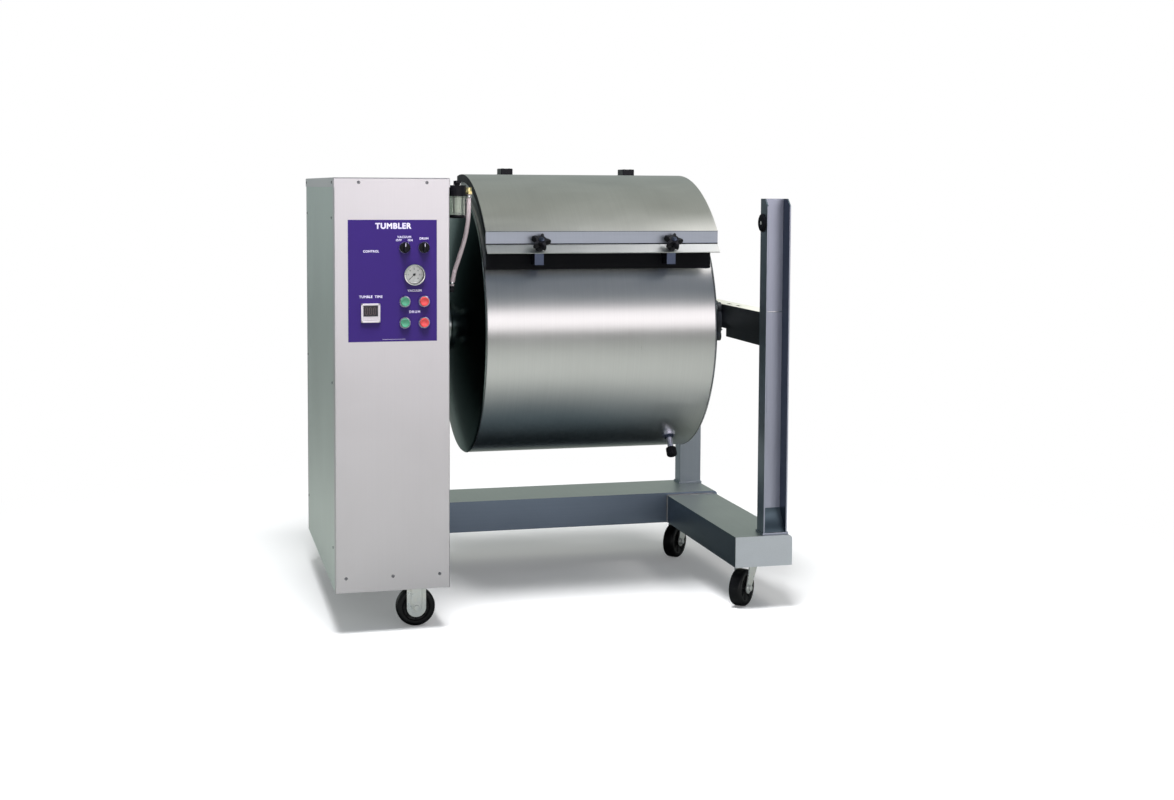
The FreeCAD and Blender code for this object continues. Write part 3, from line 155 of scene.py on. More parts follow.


def finish(name, colour, rough, grain, fleck, broad, patch, relief, spread, smudge, depth=0.0001, metal=0.0,
           second=None, tangent=None, foot=None, **sockets):
    """A procedural finish, kept in LOOKS. Fine grain varies the colour by fleck and the roughness by
    spread, and raises the surface. Broad noise varies them by patch and smudge, and may mix in a second
    colour. A tangent is the way of brushing, and foot paints shade: how dark the colour is painted at the
    floor."""
    LOOKS[name] = bpy.data.materials.new(name)
    kit = Nodes(LOOKS[name])
    shader = kit.tree.nodes["Principled BSDF"]
    place = kit.node("ShaderNodeTexCoord").outputs["Object"]
    fine = kit.noise(place, grain, 5.0, 0.65)
    wide = kit.noise(place, broad, 3.0, 0.5, 0.6)
    factor = kit.math("MULTIPLY_ADD", fine, fleck, 1.0)
    factor = kit.math("MULTIPLY_ADD", wide, patch, factor)
    # painted shade: the colour darkens towards the floor
    if foot:
        height = kit.node("ShaderNodeSeparateXYZ", place).outputs["Z"]
        factor = kit.math("MULTIPLY", factor, kit.math("MULTIPLY_ADD", height, (1 - foot) / SHADE_FADE_HEIGHT, foot))
    tint = kit.node("ShaderNodeVectorMath", operation="SCALE")
    if second:
        share = kit.math("MULTIPLY_ADD", wide, 0.5, 0.5, clamp=True)
        kit.link(kit.mixed(colour, second, share), tint.inputs[0])
    else:
        tint.inputs[0].default_value = colour
    kit.link(factor, tint.inputs["Scale"])
    kit.link(tint, shader.inputs["Base Color"])
    shine = kit.math("MULTIPLY_ADD", fine, spread, rough)
    kit.link(kit.math("MULTIPLY_ADD", wide, smudge, shine, clamp=True), shader.inputs["Roughness"])
    bump = kit.node("ShaderNodeBump", Strength=relief, Distance=depth)
    kit.link(fine, bump.inputs["Height"])
    kit.link(bump, shader.inputs["Normal"])
    shader.inputs["Metallic"].default_value = metal
    for key, value in sockets.items():
        shader.inputs[key.replace("_", " ")].default_value = value
    if tangent:
        x, y, z = tangent
        kit.link(kit.node("ShaderNodeCombineXYZ", X=x, Y=y, Z=z), shader.inputs["Tangent"])


def metal(*values, **more):
    finish(*values, metal=1.0, **more)


def frame_steel(name, colour, rough, grain=UPRIGHT, broad=(6, 6, 3), patch=0.10, shiny=1.0):
    """Mill-finish steel of the stand, with the grain along its own length. Its copies are painted lighter or
    darker for faces that are lit or shaded.
    """
    finish(name, colour, rough, grain, 0.05, broad, patch, 0.06, 0.03, 0.05, metal=shiny)


def moulded(name, colour, rough, *values, level=0.5, **more):
    """Plastic, rubber or paint, with a specular level that can be low."""
    finish(name, colour, rough, *values, Specular_IOR_Level=level, **more)


# name, colour, roughness; fine grain and its fleck; broad noise and its patches; relief, spread, smudge
# foot=0.70 paints shade on the cabinet's panels, darker towards the floor
metal("panel_steel", (0.83, 0.80, 0.835), 0.44, UPRIGHT, 0.015, 3, 0.05, 0.03, 0.025, 0.03, foot=0.70)
metal("side_steel", (0.74, 0.80, 0.78), 0.44, UPRIGHT, 0.04, PANEL, 0.05, 0.05, 0.03, 0.04)
metal("shade_steel", (0.10, 0.12, 0.13), 0.34, UPRIGHT, 0.04, PANEL, 0.05, 0.05, 0.03, 0.04)
metal("drum_steel", (0.60, 0.60, 0.60), 0.31, ROUND, 0.035, (2.5, 5, 5), 0.05, 0.05, 0.02, 0.03,
      tangent=ACROSS, Anisotropic=0.5)
metal("lid_steel", (0.71, 0.72, 0.70), 0.42, ROUND, 0.035, (5, 9, 9), 0.08, 0.05, 0.025, 0.05,
      tangent=ACROSS, Anisotropic=0.4)
# copies of the lid's steel painted for the light on each face: the upright strip darker, the lip a little
# darker
metal("shaded_strip_steel", (0.36, 0.39, 0.45), 0.42, ROUND, 0.04, (6, 20, 30), 0.08, 0.05, 0.03, 0.05)
metal("lip_steel", (0.66, 0.68, 0.69), 0.42, ROUND, 0.04, (5, 9, 9), 0.05, 0.05, 0.03, 0.05)
metal("inner_steel", (0.42, 0.44, 0.44), 0.36, ROUND, 0.05, (3, 5, 5), 0.06, 0.05, 0.03, 0.05)
metal("head_steel", (0.30, 0.32, 0.34), 0.16, 60, 0.03, CASTING, 0.05, 0.04, 0.03, 0.04)
# a darker, green-tinted copy of the heads' steel: painted shade and reflection on the left head
metal("shaded_head_steel", (0.20, 0.24, 0.23), 0.20, 60, 0.03, CASTING, 0.05, 0.04, 0.03, 0.04,
      Specular_Tint=(0.40, 0.46, 0.46, 1))

# lit and shaded copies of the stand's steel: lighter ones paint light on faces turned to the lamps, darker
# ones paint shade on faces turned away
frame_steel("beam_steel", (0.225, 0.27, 0.345), 0.44, ALONG, (5, 4, 8), 0.07)
frame_steel("foot_steel", (0.33, 0.37, 0.42), 0.44, DEEP, (4, 5, 8), 0.07)
frame_steel("lit_top_steel", (0.60, 0.645, 0.62), 0.44, DEEP, (4, 5, 8), 0.07)
frame_steel("lit_foot_front", (0.56, 0.59, 0.64), 0.46, DEEP, (4, 5, 8), 0.05)
frame_steel("lit_web_steel", (0.40, 0.42, 0.51), 0.40, UPRIGHT, (20, 20, 2.5))
frame_steel("post_steel", (0.34, 0.365, 0.42), 0.42, patch=0.06)
frame_steel("gusset_shade_steel", (0.085, 0.115, 0.14), 0.38)
frame_steel("deep_shade_steel", (0.055, 0.08, 0.13), 0.38)
frame_steel("side_shade_steel", (0.23, 0.28, 0.335), 0.42)
frame_steel("rear_shade_steel", (0.27, 0.30, 0.34), 0.42)
# the next two paint the cross beam: its shade, and a highlight along its top
frame_steel("beam_shade", (0.025, 0.033, 0.046), 0.40, DEEP)
frame_steel("cream_top", (0.74, 0.74, 0.66), 0.50, DEEP, patch=0.08, shiny=0.35)

metal("bright_steel", (0.68, 0.68, 0.69), 0.20, 300, 0.04, 20, 0.04, 0.05, 0.04, 0.04)
metal("nipple_steel", (0.66, 0.66, 0.78), 0.30, 300, 0.06, 60, 0.10, 0.06, 0.04, 0.04)
metal("screw_steel", (0.20, 0.21, 0.23), 0.36, 300, 0.06, 60, 0.08, 0.06, 0.04, 0.04)
metal("bezel_metal", (0.52, 0.52, 0.60), 0.28, 500, 0.04, 60, 0.05, 0.06, 0.04, 0.05)
metal("brass", (0.88, 0.76, 0.38), 0.30, 400, 0.05, 60, 0.08, 0.08, 0.05, 0.06)
metal("lug_steel", (0.075, 0.09, 0.135), 0.34, 300, 0.06, 60, 0.10, 0.08, 0.05, 0.05, 0.0002)
metal("chain_steel", (0.24, 0.22, 0.20), 0.38, 300, 0.1, 40, 0.2, 0.1, 0.06, 0.1, 0.0002)
metal("weld_steel", (0.36, 0.35, 0.34), 0.36, 500, 0.1, 30, 0.2, 0.2, 0.08, 0.1, 0.0003,
      second=(0.30, 0.30, 0.34))
finish("zinc_plate", (0.80, 0.83, 0.84), 0.34, 120, 0.06, 40, 0.10, 0.08, 0.06, 0.08, 0.0002, metal=0.7,
       second=(0.74, 0.73, 0.68))

# near black: painted shade on the lid's ends and along its folds
moulded("edge_dark", (0.012, 0.014, 0.017), 0.55, 400, 0.1, 20, 0.1, 0.1, 0.05, 0.05, 0.0002, level=0.2)
# black plastic, also used as painted shadow on the hose's lower brass fitting
moulded("black_plastic", (0.006, 0.006, 0.008), 0.36, 900, 0.15, 60, 0.1, 0.15, 0.06, 0.08, 0.0002,
        level=0.15)
moulded("tyre", (0.005, 0.005, 0.006), 0.36, 700, 0.2, 50, 0.25, 0.15, 0.06, 0.1, 0.0003, level=0.25)
# black rubber of the post's bumper, also the painted shadow strip under the lid's lip
moulded("seal_rubber", (0.0035, 0.0038, 0.0055), 0.62, 500, 0.2, 20, 0.2, 0.2, 0.06, 0.08, 0.0003, level=0.1)
moulded("violet", (0.036, 0.015, 0.155), 0.55, 900, 0.06, 8, 0.04, 0.06, 0.04, 0.03, level=0.25)
moulded("cast_paint", (0.022, 0.026, 0.032), 0.48, 500, 0.05, 20, 0.06, 0.35, 0.05, 0.06, 0.0005)
moulded("motor_enamel", (0.07, 0.12, 0.19), 0.34, 350, 0.05, 15, 0.06, 0.25, 0.04, 0.05, 0.0004)
moulded("silicone", (0.62, 0.62, 0.58), 0.50, 400, 0.05, 30, 0.06, 0.15, 0.05, 0.05, 0.0003)
moulded("gear_plastic", (0.42, 0.43, 0.42), 0.5, 700, 0.04, 20, 0.05, 0.15, 0.04, 0.04, 0.0002)
moulded("timer_grey", (0.60, 0.56, 0.60), 0.42, 900, 0.03, 60, 0.03, 0.12, 0.04, 0.03, 0.0002)
moulded("filter_media", (0.55, 0.56, 0.50), 0.6, (800, 800, 60), 0.1, 30, 0.06, 0.3, 0.04, 0.04, 0.0004)
moulded("print_white", (0.72, 0.68, 0.86), 0.45, 900, 0.04, 40, 0.03, 0.05, 0.04, 0.03)
moulded("dial_white", (0.90, 0.88, 0.87), 0.45, 900, 0.02, 40, 0.02, 0.04, 0.03, 0.03)
moulded("dial_black", (0.03, 0.03, 0.035), 0.45, 900, 0.1, 40, 0.05, 0.04, 0.03, 0.03)
moulded("dial_grey", (0.16, 0.16, 0.18), 0.45, 900, 0.1, 40, 0.05, 0.04, 0.03, 0.03)
moulded("needle_black", (0.03, 0.03, 0.035), 0.38, 900, 0.1, 60, 0.05, 0.04, 0.03, 0.03)
moulded("display", (0.028, 0.025, 0.030), 0.22, 200, 0.1, 60, 0.1, 0.03, 0.02, 0.03)
moulded("digit", (0.075, 0.045, 0.045), 0.4, 600, 0.05, 60, 0.05, 0.03, 0.02, 0.03)
moulded("green_lens", (0.06, 0.28, 0.17), 0.30, 600, 0.06, 80, 0.08, 0.06, 0.04, 0.05, Coat_Weight=0.4)
moulded("red_lens", (0.64, 0.055, 0.06), 0.30, 600, 0.06, 80, 0.08, 0.06, 0.04, 0.05, Coat_Weight=0.4)
moulded("hose_vinyl", (0.74, 0.62, 0.66), 0.24, (60, 60, 200), 0.04, 25, 0.08, 0.06, 0.03, 0.04, 0.0002,
        Transmission_Weight=0.25, IOR=1.42, Coat_Weight=0.3)
moulded("bowl_clear", (0.78, 0.84, 0.76), 0.10, 200, 0.02, 30, 0.03, 0.03, 0.02, 0.03,
        Transmission_Weight=0.85, IOR=1.35)
moulded("lens_glass", (0.96, 0.97, 0.97), 0.05, 200, 0.01, 30, 0.01, 0.01, 0.01, 0.01,
        Transmission_Weight=1.0, IOR=1.1)


# ---- making pieces

def piece(name, bm, body, looks, replaces=None):
    """One object from a bmesh, riding on a body, smooth but for its sharp edges."""
    bmesh.ops.remove_doubles(bm, verts=bm.verts, dist=1e-6)
    bmesh.ops.recalc_face_normals(bm, faces=bm.faces)
    mesh = bpy.data.meshes.new(name)
    bm.to_mesh(mesh)
    bm.free()
    for look in [looks] if isinstance(looks, str) else looks:
        mesh.materials.append(LOOKS[look])
    mesh.shade_smooth()
    mesh.set_sharp_from_angle(angle=math.radians(35))
    obj = add(name, mesh)
    even_out(obj)
    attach(obj, body)
    if replaces:
        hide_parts(replaces)


def even_out(obj):
    """Shading that follows the large flat faces."""
    even = obj.modifiers.new("even", "WEIGHTED_NORMAL")
    even.mode = "FACE_AREA"
    even.weight = 50
    even.keep_sharp = True


def hexagon(a):
    """The reach of a hexagon's side at an angle, for one whose flats are 1 from its middle."""
    return 1 / math.cos((a + math.pi / 6) % (math.pi / 3) - math.pi / 6)


def star(a):
    """Five pointed lobes with hollows between them."""
    wave = 0.5 + 0.5 * math.cos(5 * a)
    return 0.42 + 0.58 * wave ** 1.35


def knurl(a):
    return 1 + 0.035 * math.cos(24 * a)


def circle(a):
    return 1.0


def lathe(bm, at, axis, profile, segments=48, look=0, shape=circle, start=None):
    """Rings of (distance along the axis, radius, own shape if any) joined into one skin."""
    axis = Vector(axis).normalized()
    side = (start or axis.orthogonal()).normalized()
    other = axis.cross(side)
    rings = []
    for along, radius, *own in profile:
        middle = at + axis * along
        if radius < 1e-7:
            rings.append([bm.verts.new(middle)])
            continue
        rings.append([])
        for i in range(segments):
            a = math.tau * i / segments
            reach = radius * (own[0] if own else shape)(a)
            spot = middle + side * (reach * math.cos(a)) + other * (reach * math.sin(a))
            rings[-1].append(bm.verts.new(spot))
    for low, high in zip(rings, rings[1:]):
        for i in range(segments):
            j = (i + 1) % segments
            four = (low[i % len(low)], high[i % len(high)], high[j % len(high)], low[j % len(low)])
            face = list(dict.fromkeys(four))
            if len(face) > 2:
                bm.faces.new(face).material_index = look


def block(bm, low, high, rim=0.0, segments=2, look=0, turn=None):
    """A box with softened edges, turned about its middle if asked."""
    low, high = Vector(low), Vector(high)
    made = bmesh.ops.create_cube(bm, size=1.0)["verts"]
    size, middle = high - low, (high + low) / 2
    for v in made:
        v.co = Vector(a * b for a, b in zip(v.co, size)) + middle
    if rim:
        edges = list({e for v in made for e in v.link_edges})
        got = bmesh.ops.bevel(bm, geom=edges, offset=rim, segments=segments, profile=0.5, affect="EDGES")
        made = list({v for f in got["faces"] for v in f.verts} | {v for v in made if v.is_valid})
    for f in {f for v in made for f in v.link_faces}:
        f.material_index = look
    if turn:
        for v in made:
            v.co = middle + turn @ (v.co - middle)


def sweep(bm, points, radius, sides=8, ripple=0.0, closed=False, look=0):
    """A rod along points, with a ripple every third ring, like a run of weld."""
    rings = []
    near = [points[-1], *points, points[0]] if closed else [points[0], *points, points[-1]]
    for i, p in enumerate(points):
        axis = (near[i + 2] - near[i]).normalized()
        side = axis.orthogonal().normalized()
        if rings and abs(axis.dot(last_side)) < 0.9:
            side = (last_side - axis * axis.dot(last_side)).normalized()
        last_side = side
        other = axis.cross(side)
        r = radius * (1 + ripple * math.cos(math.tau * i / 3))
        rings.append([bm.verts.new(p + (side * math.cos(math.tau * k / sides)
                                        + other * math.sin(math.tau * k / sides)) * r)
                      for k in range(sides)])
    pairs = list(zip(rings, rings[1:])) + ([(rings[-1], rings[0])] if closed else [])
    for low, high in pairs:
        for k in range(sides):
            m = (k + 1) % sides
            bm.faces.new((low[k], high[k], high[m], low[m])).material_index = look
    if not closed:
        bm.faces.new(rings[0]).material_index = look
        bm.faces.new(list(reversed(rings[-1]))).material_index = look


def straight(a, b):
    """Points from a to b, a weld's step apart."""
    a, b = Vector(a), Vector(b)
    count = max(2, int((b - a).length / WELD_STEP))
    return [a.lerp(b, i / count) for i in range(count + 1)]


def corners(spots):
    """The lowest and highest corners of the box round some points."""
    return Vector(map(min, zip(*spots))), Vector(map(max, zip(*spots)))


def islands(node, finest=5e-5):
    """Boxes of a CAD node's separate solids, as (lowest, highest) corners."""
    mesh = NODES[node].data
    keys = [tuple(round(c / finest) for c in v.co) for v in mesh.vertices]
    group = {k: {k} for k in keys}
    for e in mesh.edges:
        a, b = (group[keys[i]] for i in e.vertices)
        if a is not b:
            a |= b
            group.update(dict.fromkeys(b, a))
    solids = {}
    for k, v in zip(keys, mesh.vertices):
        solids.setdefault(id(group[k]), []).append(v.co)
    return sorted(map(corners, solids.values()), key=lambda box: tuple(round(c, 4) for c in box[0]))


def lettering(bm, text, size, place, spacing=1.0, bold=0.0, thick=0.00015):
    """Raised print centred on a point, read from the front. Copies round a circle make it bold."""
    curve = bpy.data.curves.new("lettering", "FONT")
    curve.body = text
    curve.size = size
    curve.align_x = "CENTER"
    curve.align_y = "CENTER"
    curve.space_character = spacing
    curve.extrude = thick
    obj = add("lettering", curve)
    bpy.context.view_layer.update()
    made = bpy.data.meshes.new_from_object(obj)
    made.transform(Matrix.Rotation(math.pi / 2, 4, "X"))
    for k in range(8):
        a = k * math.pi / 4
        step = Vector(place) + (X * math.cos(a) + Z * math.sin(a)) * bold - Y * (0.00001 * k)
        made.transform(Matrix.Translation(step))
        bm.from_mesh(made)
        made.transform(Matrix.Translation(-step))
    bpy.data.objects.remove(obj)
    bpy.data.curves.remove(curve)
    bpy.data.meshes.remove(made)


def hex_bolt(bm, at, axis, radius, height, look=0):
    """A washer and a hexagon head with chamfered corners, from a seat outwards."""
    w, base, flat = radius * 1.35, radius * 0.22, radius * 0.88
    lathe(bm, at, axis, [(0, 0), (0, w), (radius * 0.16, w), (base, w * 0.96), (base, 0)], 32, look)
    lathe(bm, at, axis,
          [(base, 0), (base, flat, hexagon), (base + height * 0.8, flat, hexagon),
           (base + height, radius * 0.80), (base + height, 0)], 36, look)


def pan_screw(bm, at, axis, radius, height):
    """A low domed head with a hexagon socket."""
    socket = radius * 0.42
    lathe(bm, at, axis,
          [(0, 0), (0, radius), (height * 0.35, radius), (height * 0.72, radius * 0.86),
           (height * 0.95, radius * 0.6), (height, socket * 1.1, hexagon), (height * 0.35, socket, hexagon),
           (height * 0.3, 0)], 36)


def joint_line(name):
    """A point on a joint's axis, and the axis."""
    joint = JOINTS[name]
    return Vector(joint["pos_m"]), Vector(joint["axis"]).normalized()


# ---- CAD pieces that stay

KEEP = (
    ("panel_steel", "front_panel", "rear_panel", "top_cover"),
    ("side_steel", "left_side_panel", "cabinet_floor"),
    ("shade_steel", "right_side_panel"),
    ("violet", "control_plate"),
    ("gear_plastic", "switchgear"),
    ("cast_paint", "gearbox"),
    ("motor_enamel", "drive_motor", "vacuum_pump"),
    ("chain_steel", "drive_chain", "drive_sprocket", "driven_sprocket"),
    ("black_plastic", "filter_head", "cable_gland", "lid_hinge_blocks", "valve_handle"),
    ("lens_glass", "gauge_lens"),
    ("needle_black", "gauge_needle"),
    ("beam_steel", "cabinet_frame", "base_beam"),
    ("foot_steel", "foot_beam"),
    ("post_steel", "posts"),
    ("beam_shade", "cross_beam"),
    ("zinc_plate", "caster_mounts", "swivel_fork_front", "swivel_fork_rear"),
    ("drum_steel", "drum_shell"),
    ("head_steel", "drum_heads"),
    ("inner_steel", "opening_neck", "drum_flights"),
    ("bright_steel", "drum_shafts", "hinge_pins"),
    ("lug_steel", "drum_brackets"),
    ("nipple_steel", "drain_nipple"),
    ("lid_steel", "lid_cover"),
    ("silicone", "lid_gasket"),
    ("brass", "hose_fittings"),
)
ROUNDED = {
    "gearbox": 0.0012, "drive_motor": 0.001, "vacuum_pump": 0.001, "filter_head": 0.0008,
    "cable_gland": 0.0005, "base_beam": 0.002, "foot_beam": 0.002, "posts": 0.0008, "drum_flights": 0.001,
    "drum_shafts": 0.0006, "drum_brackets": 0.0008, "hinge_pins": 0.0008, "drain_nipple": 0.0006,
    "lid_hinge_blocks": 0.0025, "valve_handle": 0.001, "hose_fittings": 0.0006,
}


def round_edges(obj, width):
    """Welds a CAD mesh's seams and rounds its sharp edges, with modifiers only."""
    weld = obj.modifiers.new("weld", "WELD")
    weld.merge_threshold = 0.00002
    rounded = obj.modifiers.new("soften", "BEVEL")
    rounded.width = width
    rounded.segments = 2
    rounded.limit_method = "ANGLE"
    rounded.angle_limit = math.radians(40)
    even_out(obj)


def dress():
    """Gives each CAD piece that stays its finish, its smooth faces and its rounded edges."""
    for look, *nodes in KEEP:
        for name in nodes:
            obj = NODES[name]
            obj.data.materials.clear()
            obj.data.materials.append(LOOKS[look])
            for polygon in obj.data.polygons:
                polygon.material_index = 0
            obj.data.shade_smooth()
            obj.data.set_sharp_from_angle(angle=math.radians(32))
            if name in ROUNDED:
                round_edges(obj, ROUNDED[name])


dress()


def facets(node, *rules):
    """Gives the faces that pass a test a look of their own, first match first."""
    obj = NODES[node]
    for look, _ in rules:
        obj.data.materials.append(LOOKS[look])
    for polygon in obj.data.polygons:
        for index, (_, test) in enumerate(rules, start=1):
            if test(polygon.normal, polygon.center):
                polygon.material_index = index
                break


LID_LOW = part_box("lid_cover")[0]
DRUM_LOW, DRUM_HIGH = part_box("drum_shell")
POST_LOW, POST_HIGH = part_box("posts")
HOSE_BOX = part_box("hose_fittings")
WEB = 0.02          # the posts' outer walls are nearer to their box than this
# painted light and shade on the lid: near-black ends, a darker upright strip, and the lip in a copy of its
# own
facets("lid_cover",
       ("edge_dark", lambda n, c: abs(n.x) > 0.9 and c.z > LID_LOW.z + 0.05 and c.y > LID_LOW.y + 0.03),
       ("shaded_strip_steel", lambda n, c: n.y < -0.95),
       ("lip_steel", lambda n, c: c.z < LID_LOW.z + 0.03 and n.z > 0.2))
# the left head takes the copy with painted shade and reflection
facets("drum_heads", ("shaded_head_steel", lambda n, c: c.x < (DRUM_LOW.x + DRUM_HIGH.x) / 2))
# painted shadow: the lower brass fitting is coloured black
facets("hose_fittings", ("black_plastic", lambda n, c: c.z < (HOSE_BOX[0].z + HOSE_BOX[1].z) / 2))
# a painted highlight along the top of the cross beam, which is painted in shade
facets("cross_beam", ("cream_top", lambda n, c: n.z > 0.9))
# painted light and shade on the beams: a lighter top and front, a darker left end
facets("base_beam", ("lit_top_steel", lambda n, c: n.z > 0.9))
facets("foot_beam",
       ("lit_top_steel", lambda n, c: n.z > 0.9),
       ("side_shade_steel", lambda n, c: n.x < -0.9),
       ("lit_foot_front", lambda n, c: n.y < -0.9))
# painted light and shade on the posts: a lighter front web, darker rear and outer faces, near-black inner
# flange faces and a darker gusset top
facets("posts",
       ("rear_shade_steel", lambda n, c: c.y > 0 and abs(n.x) < 0.9),
       ("lit_web_steel", lambda n, c: n.y < -0.9),
       ("side_shade_steel", lambda n, c: n.x < -0.9 and c.x < POST_LOW.x + WEB),
       ("deep_shade_steel", lambda n, c: n.x < -0.9),
       ("gusset_shade_steel", lambda n, c: n.z > 0.1))


# ---- the hose

HOSE_ROUTE = (
    (-0.260, -0.335, 1.126), (-0.260, -0.335, 1.092), (-0.261, -0.329, 1.057), (-0.2645, -0.318, 1.021),
    (-0.272, -0.306, 0.986), (-0.2815, -0.297, 0.952), (-0.292, -0.290, 0.918), (-0.297, -0.290, 0.886),
)


def hose():
    """The clear vacuum hose, from the brass elbow down behind the cabinet's corner."""
    curve = bpy.data.curves.new("vacuum_hose_tube", "CURVE")
    curve.dimensions = "3D"
    spline = curve.splines.new("NURBS")
    spline.points.add(len(HOSE_ROUTE) - 1)
    for point, place in zip(spline.points, HOSE_ROUTE):
        point.co = (*place, 1)
    spline.order_u = 3
    spline.use_endpoint_u = True
    curve.resolution_u = 10
    curve.bevel_depth = 0.006
    curve.bevel_resolution = 6
    curve.use_fill_caps = True
    curve.materials.append(LOOKS["hose_vinyl"])
    tube = add("vacuum_hose_tube", curve)
    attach(tube, "root")
    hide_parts("vacuum_hose")


hose()


# ---- control plate

PLATE_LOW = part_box("control_plate")[0]


def on_plate(across, up, proud=0.0):
    """A point on the control plate's face, from its lower left corner, in millimetres."""
    return Vector((PLATE_LOW.x + across * MM, PLATE_LOW.y - proud * MM, PLATE_LOW.z + up * MM))


PRINT = (   # words, height, place of the middle, letter spacing, boldness
    ("TUMBLER", 0.0195, (114, 292), 1.12, 0.0009),
    ("VACUUM", 0.0075, (142, 264.5), 1.2, 0.0003),
    ("OFF     ON", 0.0072, (142, 256.5), 1.25, 0.0003),
    ("DRUM", 0.0075, (192, 260.5), 1.15, 0.0003),
    ("CONTROL", 0.0078, (58, 228.5), 1.1, 0.0003),
    ("VACUUM", 0.0080, (168, 128.5), 1.1, 0.0003),
    ("DRUM", 0.0084, (168, 74.5), 1.35, 0.0003),
    ("TUMBLE  TIME", 0.0085, (57, 114), 1.1, 0.0003),
)


def plate_print():
    """Generic words, and a plain line where a maker's line would be."""
    bm = bmesh.new()
    for words, size, place, spacing, bold in PRINT:
        lettering(bm, words, size, on_plate(*place), spacing, bold)
    block(bm, on_plate(86, 5.2, 0.15), on_plate(144, 5.9, 0.0))
    piece("control_plate_print", bm, "root", "print_white")


plate_print()


def from_front(low, high, y):
    """The middle of a round piece seen from the front, at a depth y, and its radius."""
    return Vector(((low.x + high.x) / 2, y, (low.z + high.z) / 2)), (high.x - low.x) / 2


def bezels():
    """Six metal rings, ribbed round their edge, round the selectors and the buttons."""
    bm = bmesh.new()
    for low, high in islands("control_bezels"):
        at, r = from_front(low, high, PLATE_LOW.y)
        proud, bore, barrel = at.y - low.y, r * 0.825, r * 0.94
        lathe(bm, at, -Y,
              [(0, r), (proud * 0.55, r, knurl), (proud * 0.85, r * 0.97), (proud, r * 0.90),
               (proud, r * 0.845), (proud * 0.8, bore), (-0.010, bore), (-0.010, barrel), (0, barrel),
               (0, r)], 96)
    piece("control_bezel_rings", bm, "root", "bezel_metal", "control_bezels")


bezels()


def push_button(colour, level):
    """A button with a dished cap and a raised rim, whose skirt stays clear of the plate when pressed."""
    node = f"{colour}_button_{level}"
    low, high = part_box(node)
    at, r = from_front(low, high, low.y)
    back = high.y - low.y
    skirt = PLATE_LOW.y - low.y - JOINTS[node + "_press"]["range_m"][1] - 0.0004
    bm = bmesh.new()
    lathe(bm, at, Y,
          [(0.0016, 0), (0.0015, r * 0.45), (0.0009, r * 0.70), (0.0001, r * 0.80), (0, r * 0.87),
           (0.0004, r * 0.96), (0.0014, r), (skirt, r), (skirt, r * 0.45), (back, r * 0.45), (back, 0)], 64)
    piece(node + "_cap", bm, f"{colour}_{level}", f"{colour}_lens", node)


for colour in ("green", "red"):
    for level in ("upper", "lower"):
        push_button(colour, level)


def selector(side):
    """A rotary switch: a round skirt, a waisted grip and a white pointer line."""
    node = f"selector_knob_{side}"
    low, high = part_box(node)
    at, r = from_front(low, high, low.y)
    back = high.y - low.y
    bm = bmesh.new()
    lathe(bm, at, Y,
          [(0.0112, 0), (0.0110, r * 0.78), (0.0118, r * 0.92), (0.0130, r), (0.0146, r), (0.0146, r * 0.5),
           (back, r * 0.5), (back, 0)], 96)
    block(bm, at + Vector((-0.0042, 0, -0.0122)), at + Vector((0.0042, 0.012, 0.0122)), 0.0016, 3)
    for v in bm.verts:
        if abs(v.co.x - at.x) < 0.0043 and v.co.y < at.y + 0.0105:
            waist = 1 - 0.35 * (1 - abs(v.co.z - at.z) / 0.0122) * (1 - (v.co.y - at.y) / 0.012)
            v.co.x = at.x + (v.co.x - at.x) * waist
    block(bm, at + Vector((-0.0007, -0.00012, 0.0022)), at + Vector((0.0007, 0.0006, 0.0108)), look=1)
    piece(node + "_grip", bm, f"selector_{side}", ["black_plastic", "print_white"], node)


selector("left")
selector("right")


def gauge():
    """Vacuum gauge: a rolled steel rim, a black case behind, a white dial with figures."""
    low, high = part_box("gauge_case")
    at, r = from_front(low, high, PLATE_LOW.y)
    proud, sunk = at.y - low.y, 0.0058
    rim = bmesh.new()
    lathe(rim, at, -Y,
          [(0, r * 0.96), (0.001, r), (proud * 0.72, r), (proud * 0.93, r * 0.975), (proud, r * 0.93),
           (proud * 0.97, r * 0.885), (proud * 0.80, r * 0.86), (-sunk, r * 0.855), (-sunk, r * 0.90),
           (0, r * 0.90), (0, r * 0.96)], 96)
    piece("gauge_rim", rim, "root", "bright_steel", "gauge_case")
    shell = bmesh.new()
    back = high.y - at.y
    lathe(shell, at, Y,
          [(0.0096, 0), (0.0060, 0), (0.0060, r * 0.85), (0.0005, r * 0.85), (0.0005, r * 0.885),
           (0.024, r * 0.87), (0.024, 0.0065, hexagon), (back, 0.0065, hexagon), (back, 0)], 72)
    piece("gauge_body", shell, "root", "dial_black")
    dial = bmesh.new()
    face = at + Y * sunk
    lathe(dial, face, -Y,
          [(-0.0012, 0), (-0.0012, r * 0.845), (0.0002, r * 0.845), (0.0008, r * 0.825), (0.0008, r * 0.800),
           (0.0003, r * 0.795), (0.0003, 0)], 96)
    piece("gauge_dial", dial, "root", "dial_white")
    marks = bmesh.new()
    steps = 30
    printed = face - Y * 0.0004
    for k in range(steps + 1):
        a = math.radians(225 + 270 * k / steps)
        out = Vector((math.sin(a), 0, math.cos(a)))
        long_mark = k % 5 == 0
        length, half = (0.0036, 0.00034) if long_mark else (0.0020, 0.00016)
        middle = printed + out * (r * 0.77 - length / 2)
        corner = Vector((half, 0.00008, length / 2))
        block(marks, middle - corner, middle + corner, turn=Matrix.Rotation(a, 3, "Y"))
        if long_mark:
            lettering(marks, str(k), 0.0042, printed + out * (r * 0.51), 1.0, 0.0001, thick=0.00008)
    piece("gauge_marks", marks, "root", "dial_grey")
    hub = bmesh.new()
    place = joint_line("gauge_needle_sweep")[0]
    middle = Vector((place.x, face.y - 0.0040, place.z))
    lathe(hub, middle, -Y,
          [(-0.0004, 0), (-0.0004, 0.0034), (0.0004, 0.0034), (0.0010, 0.0026), (0.0011, 0)], 36)
    piece("gauge_needle_hub", hub, "needle", "needle_black")


gauge()


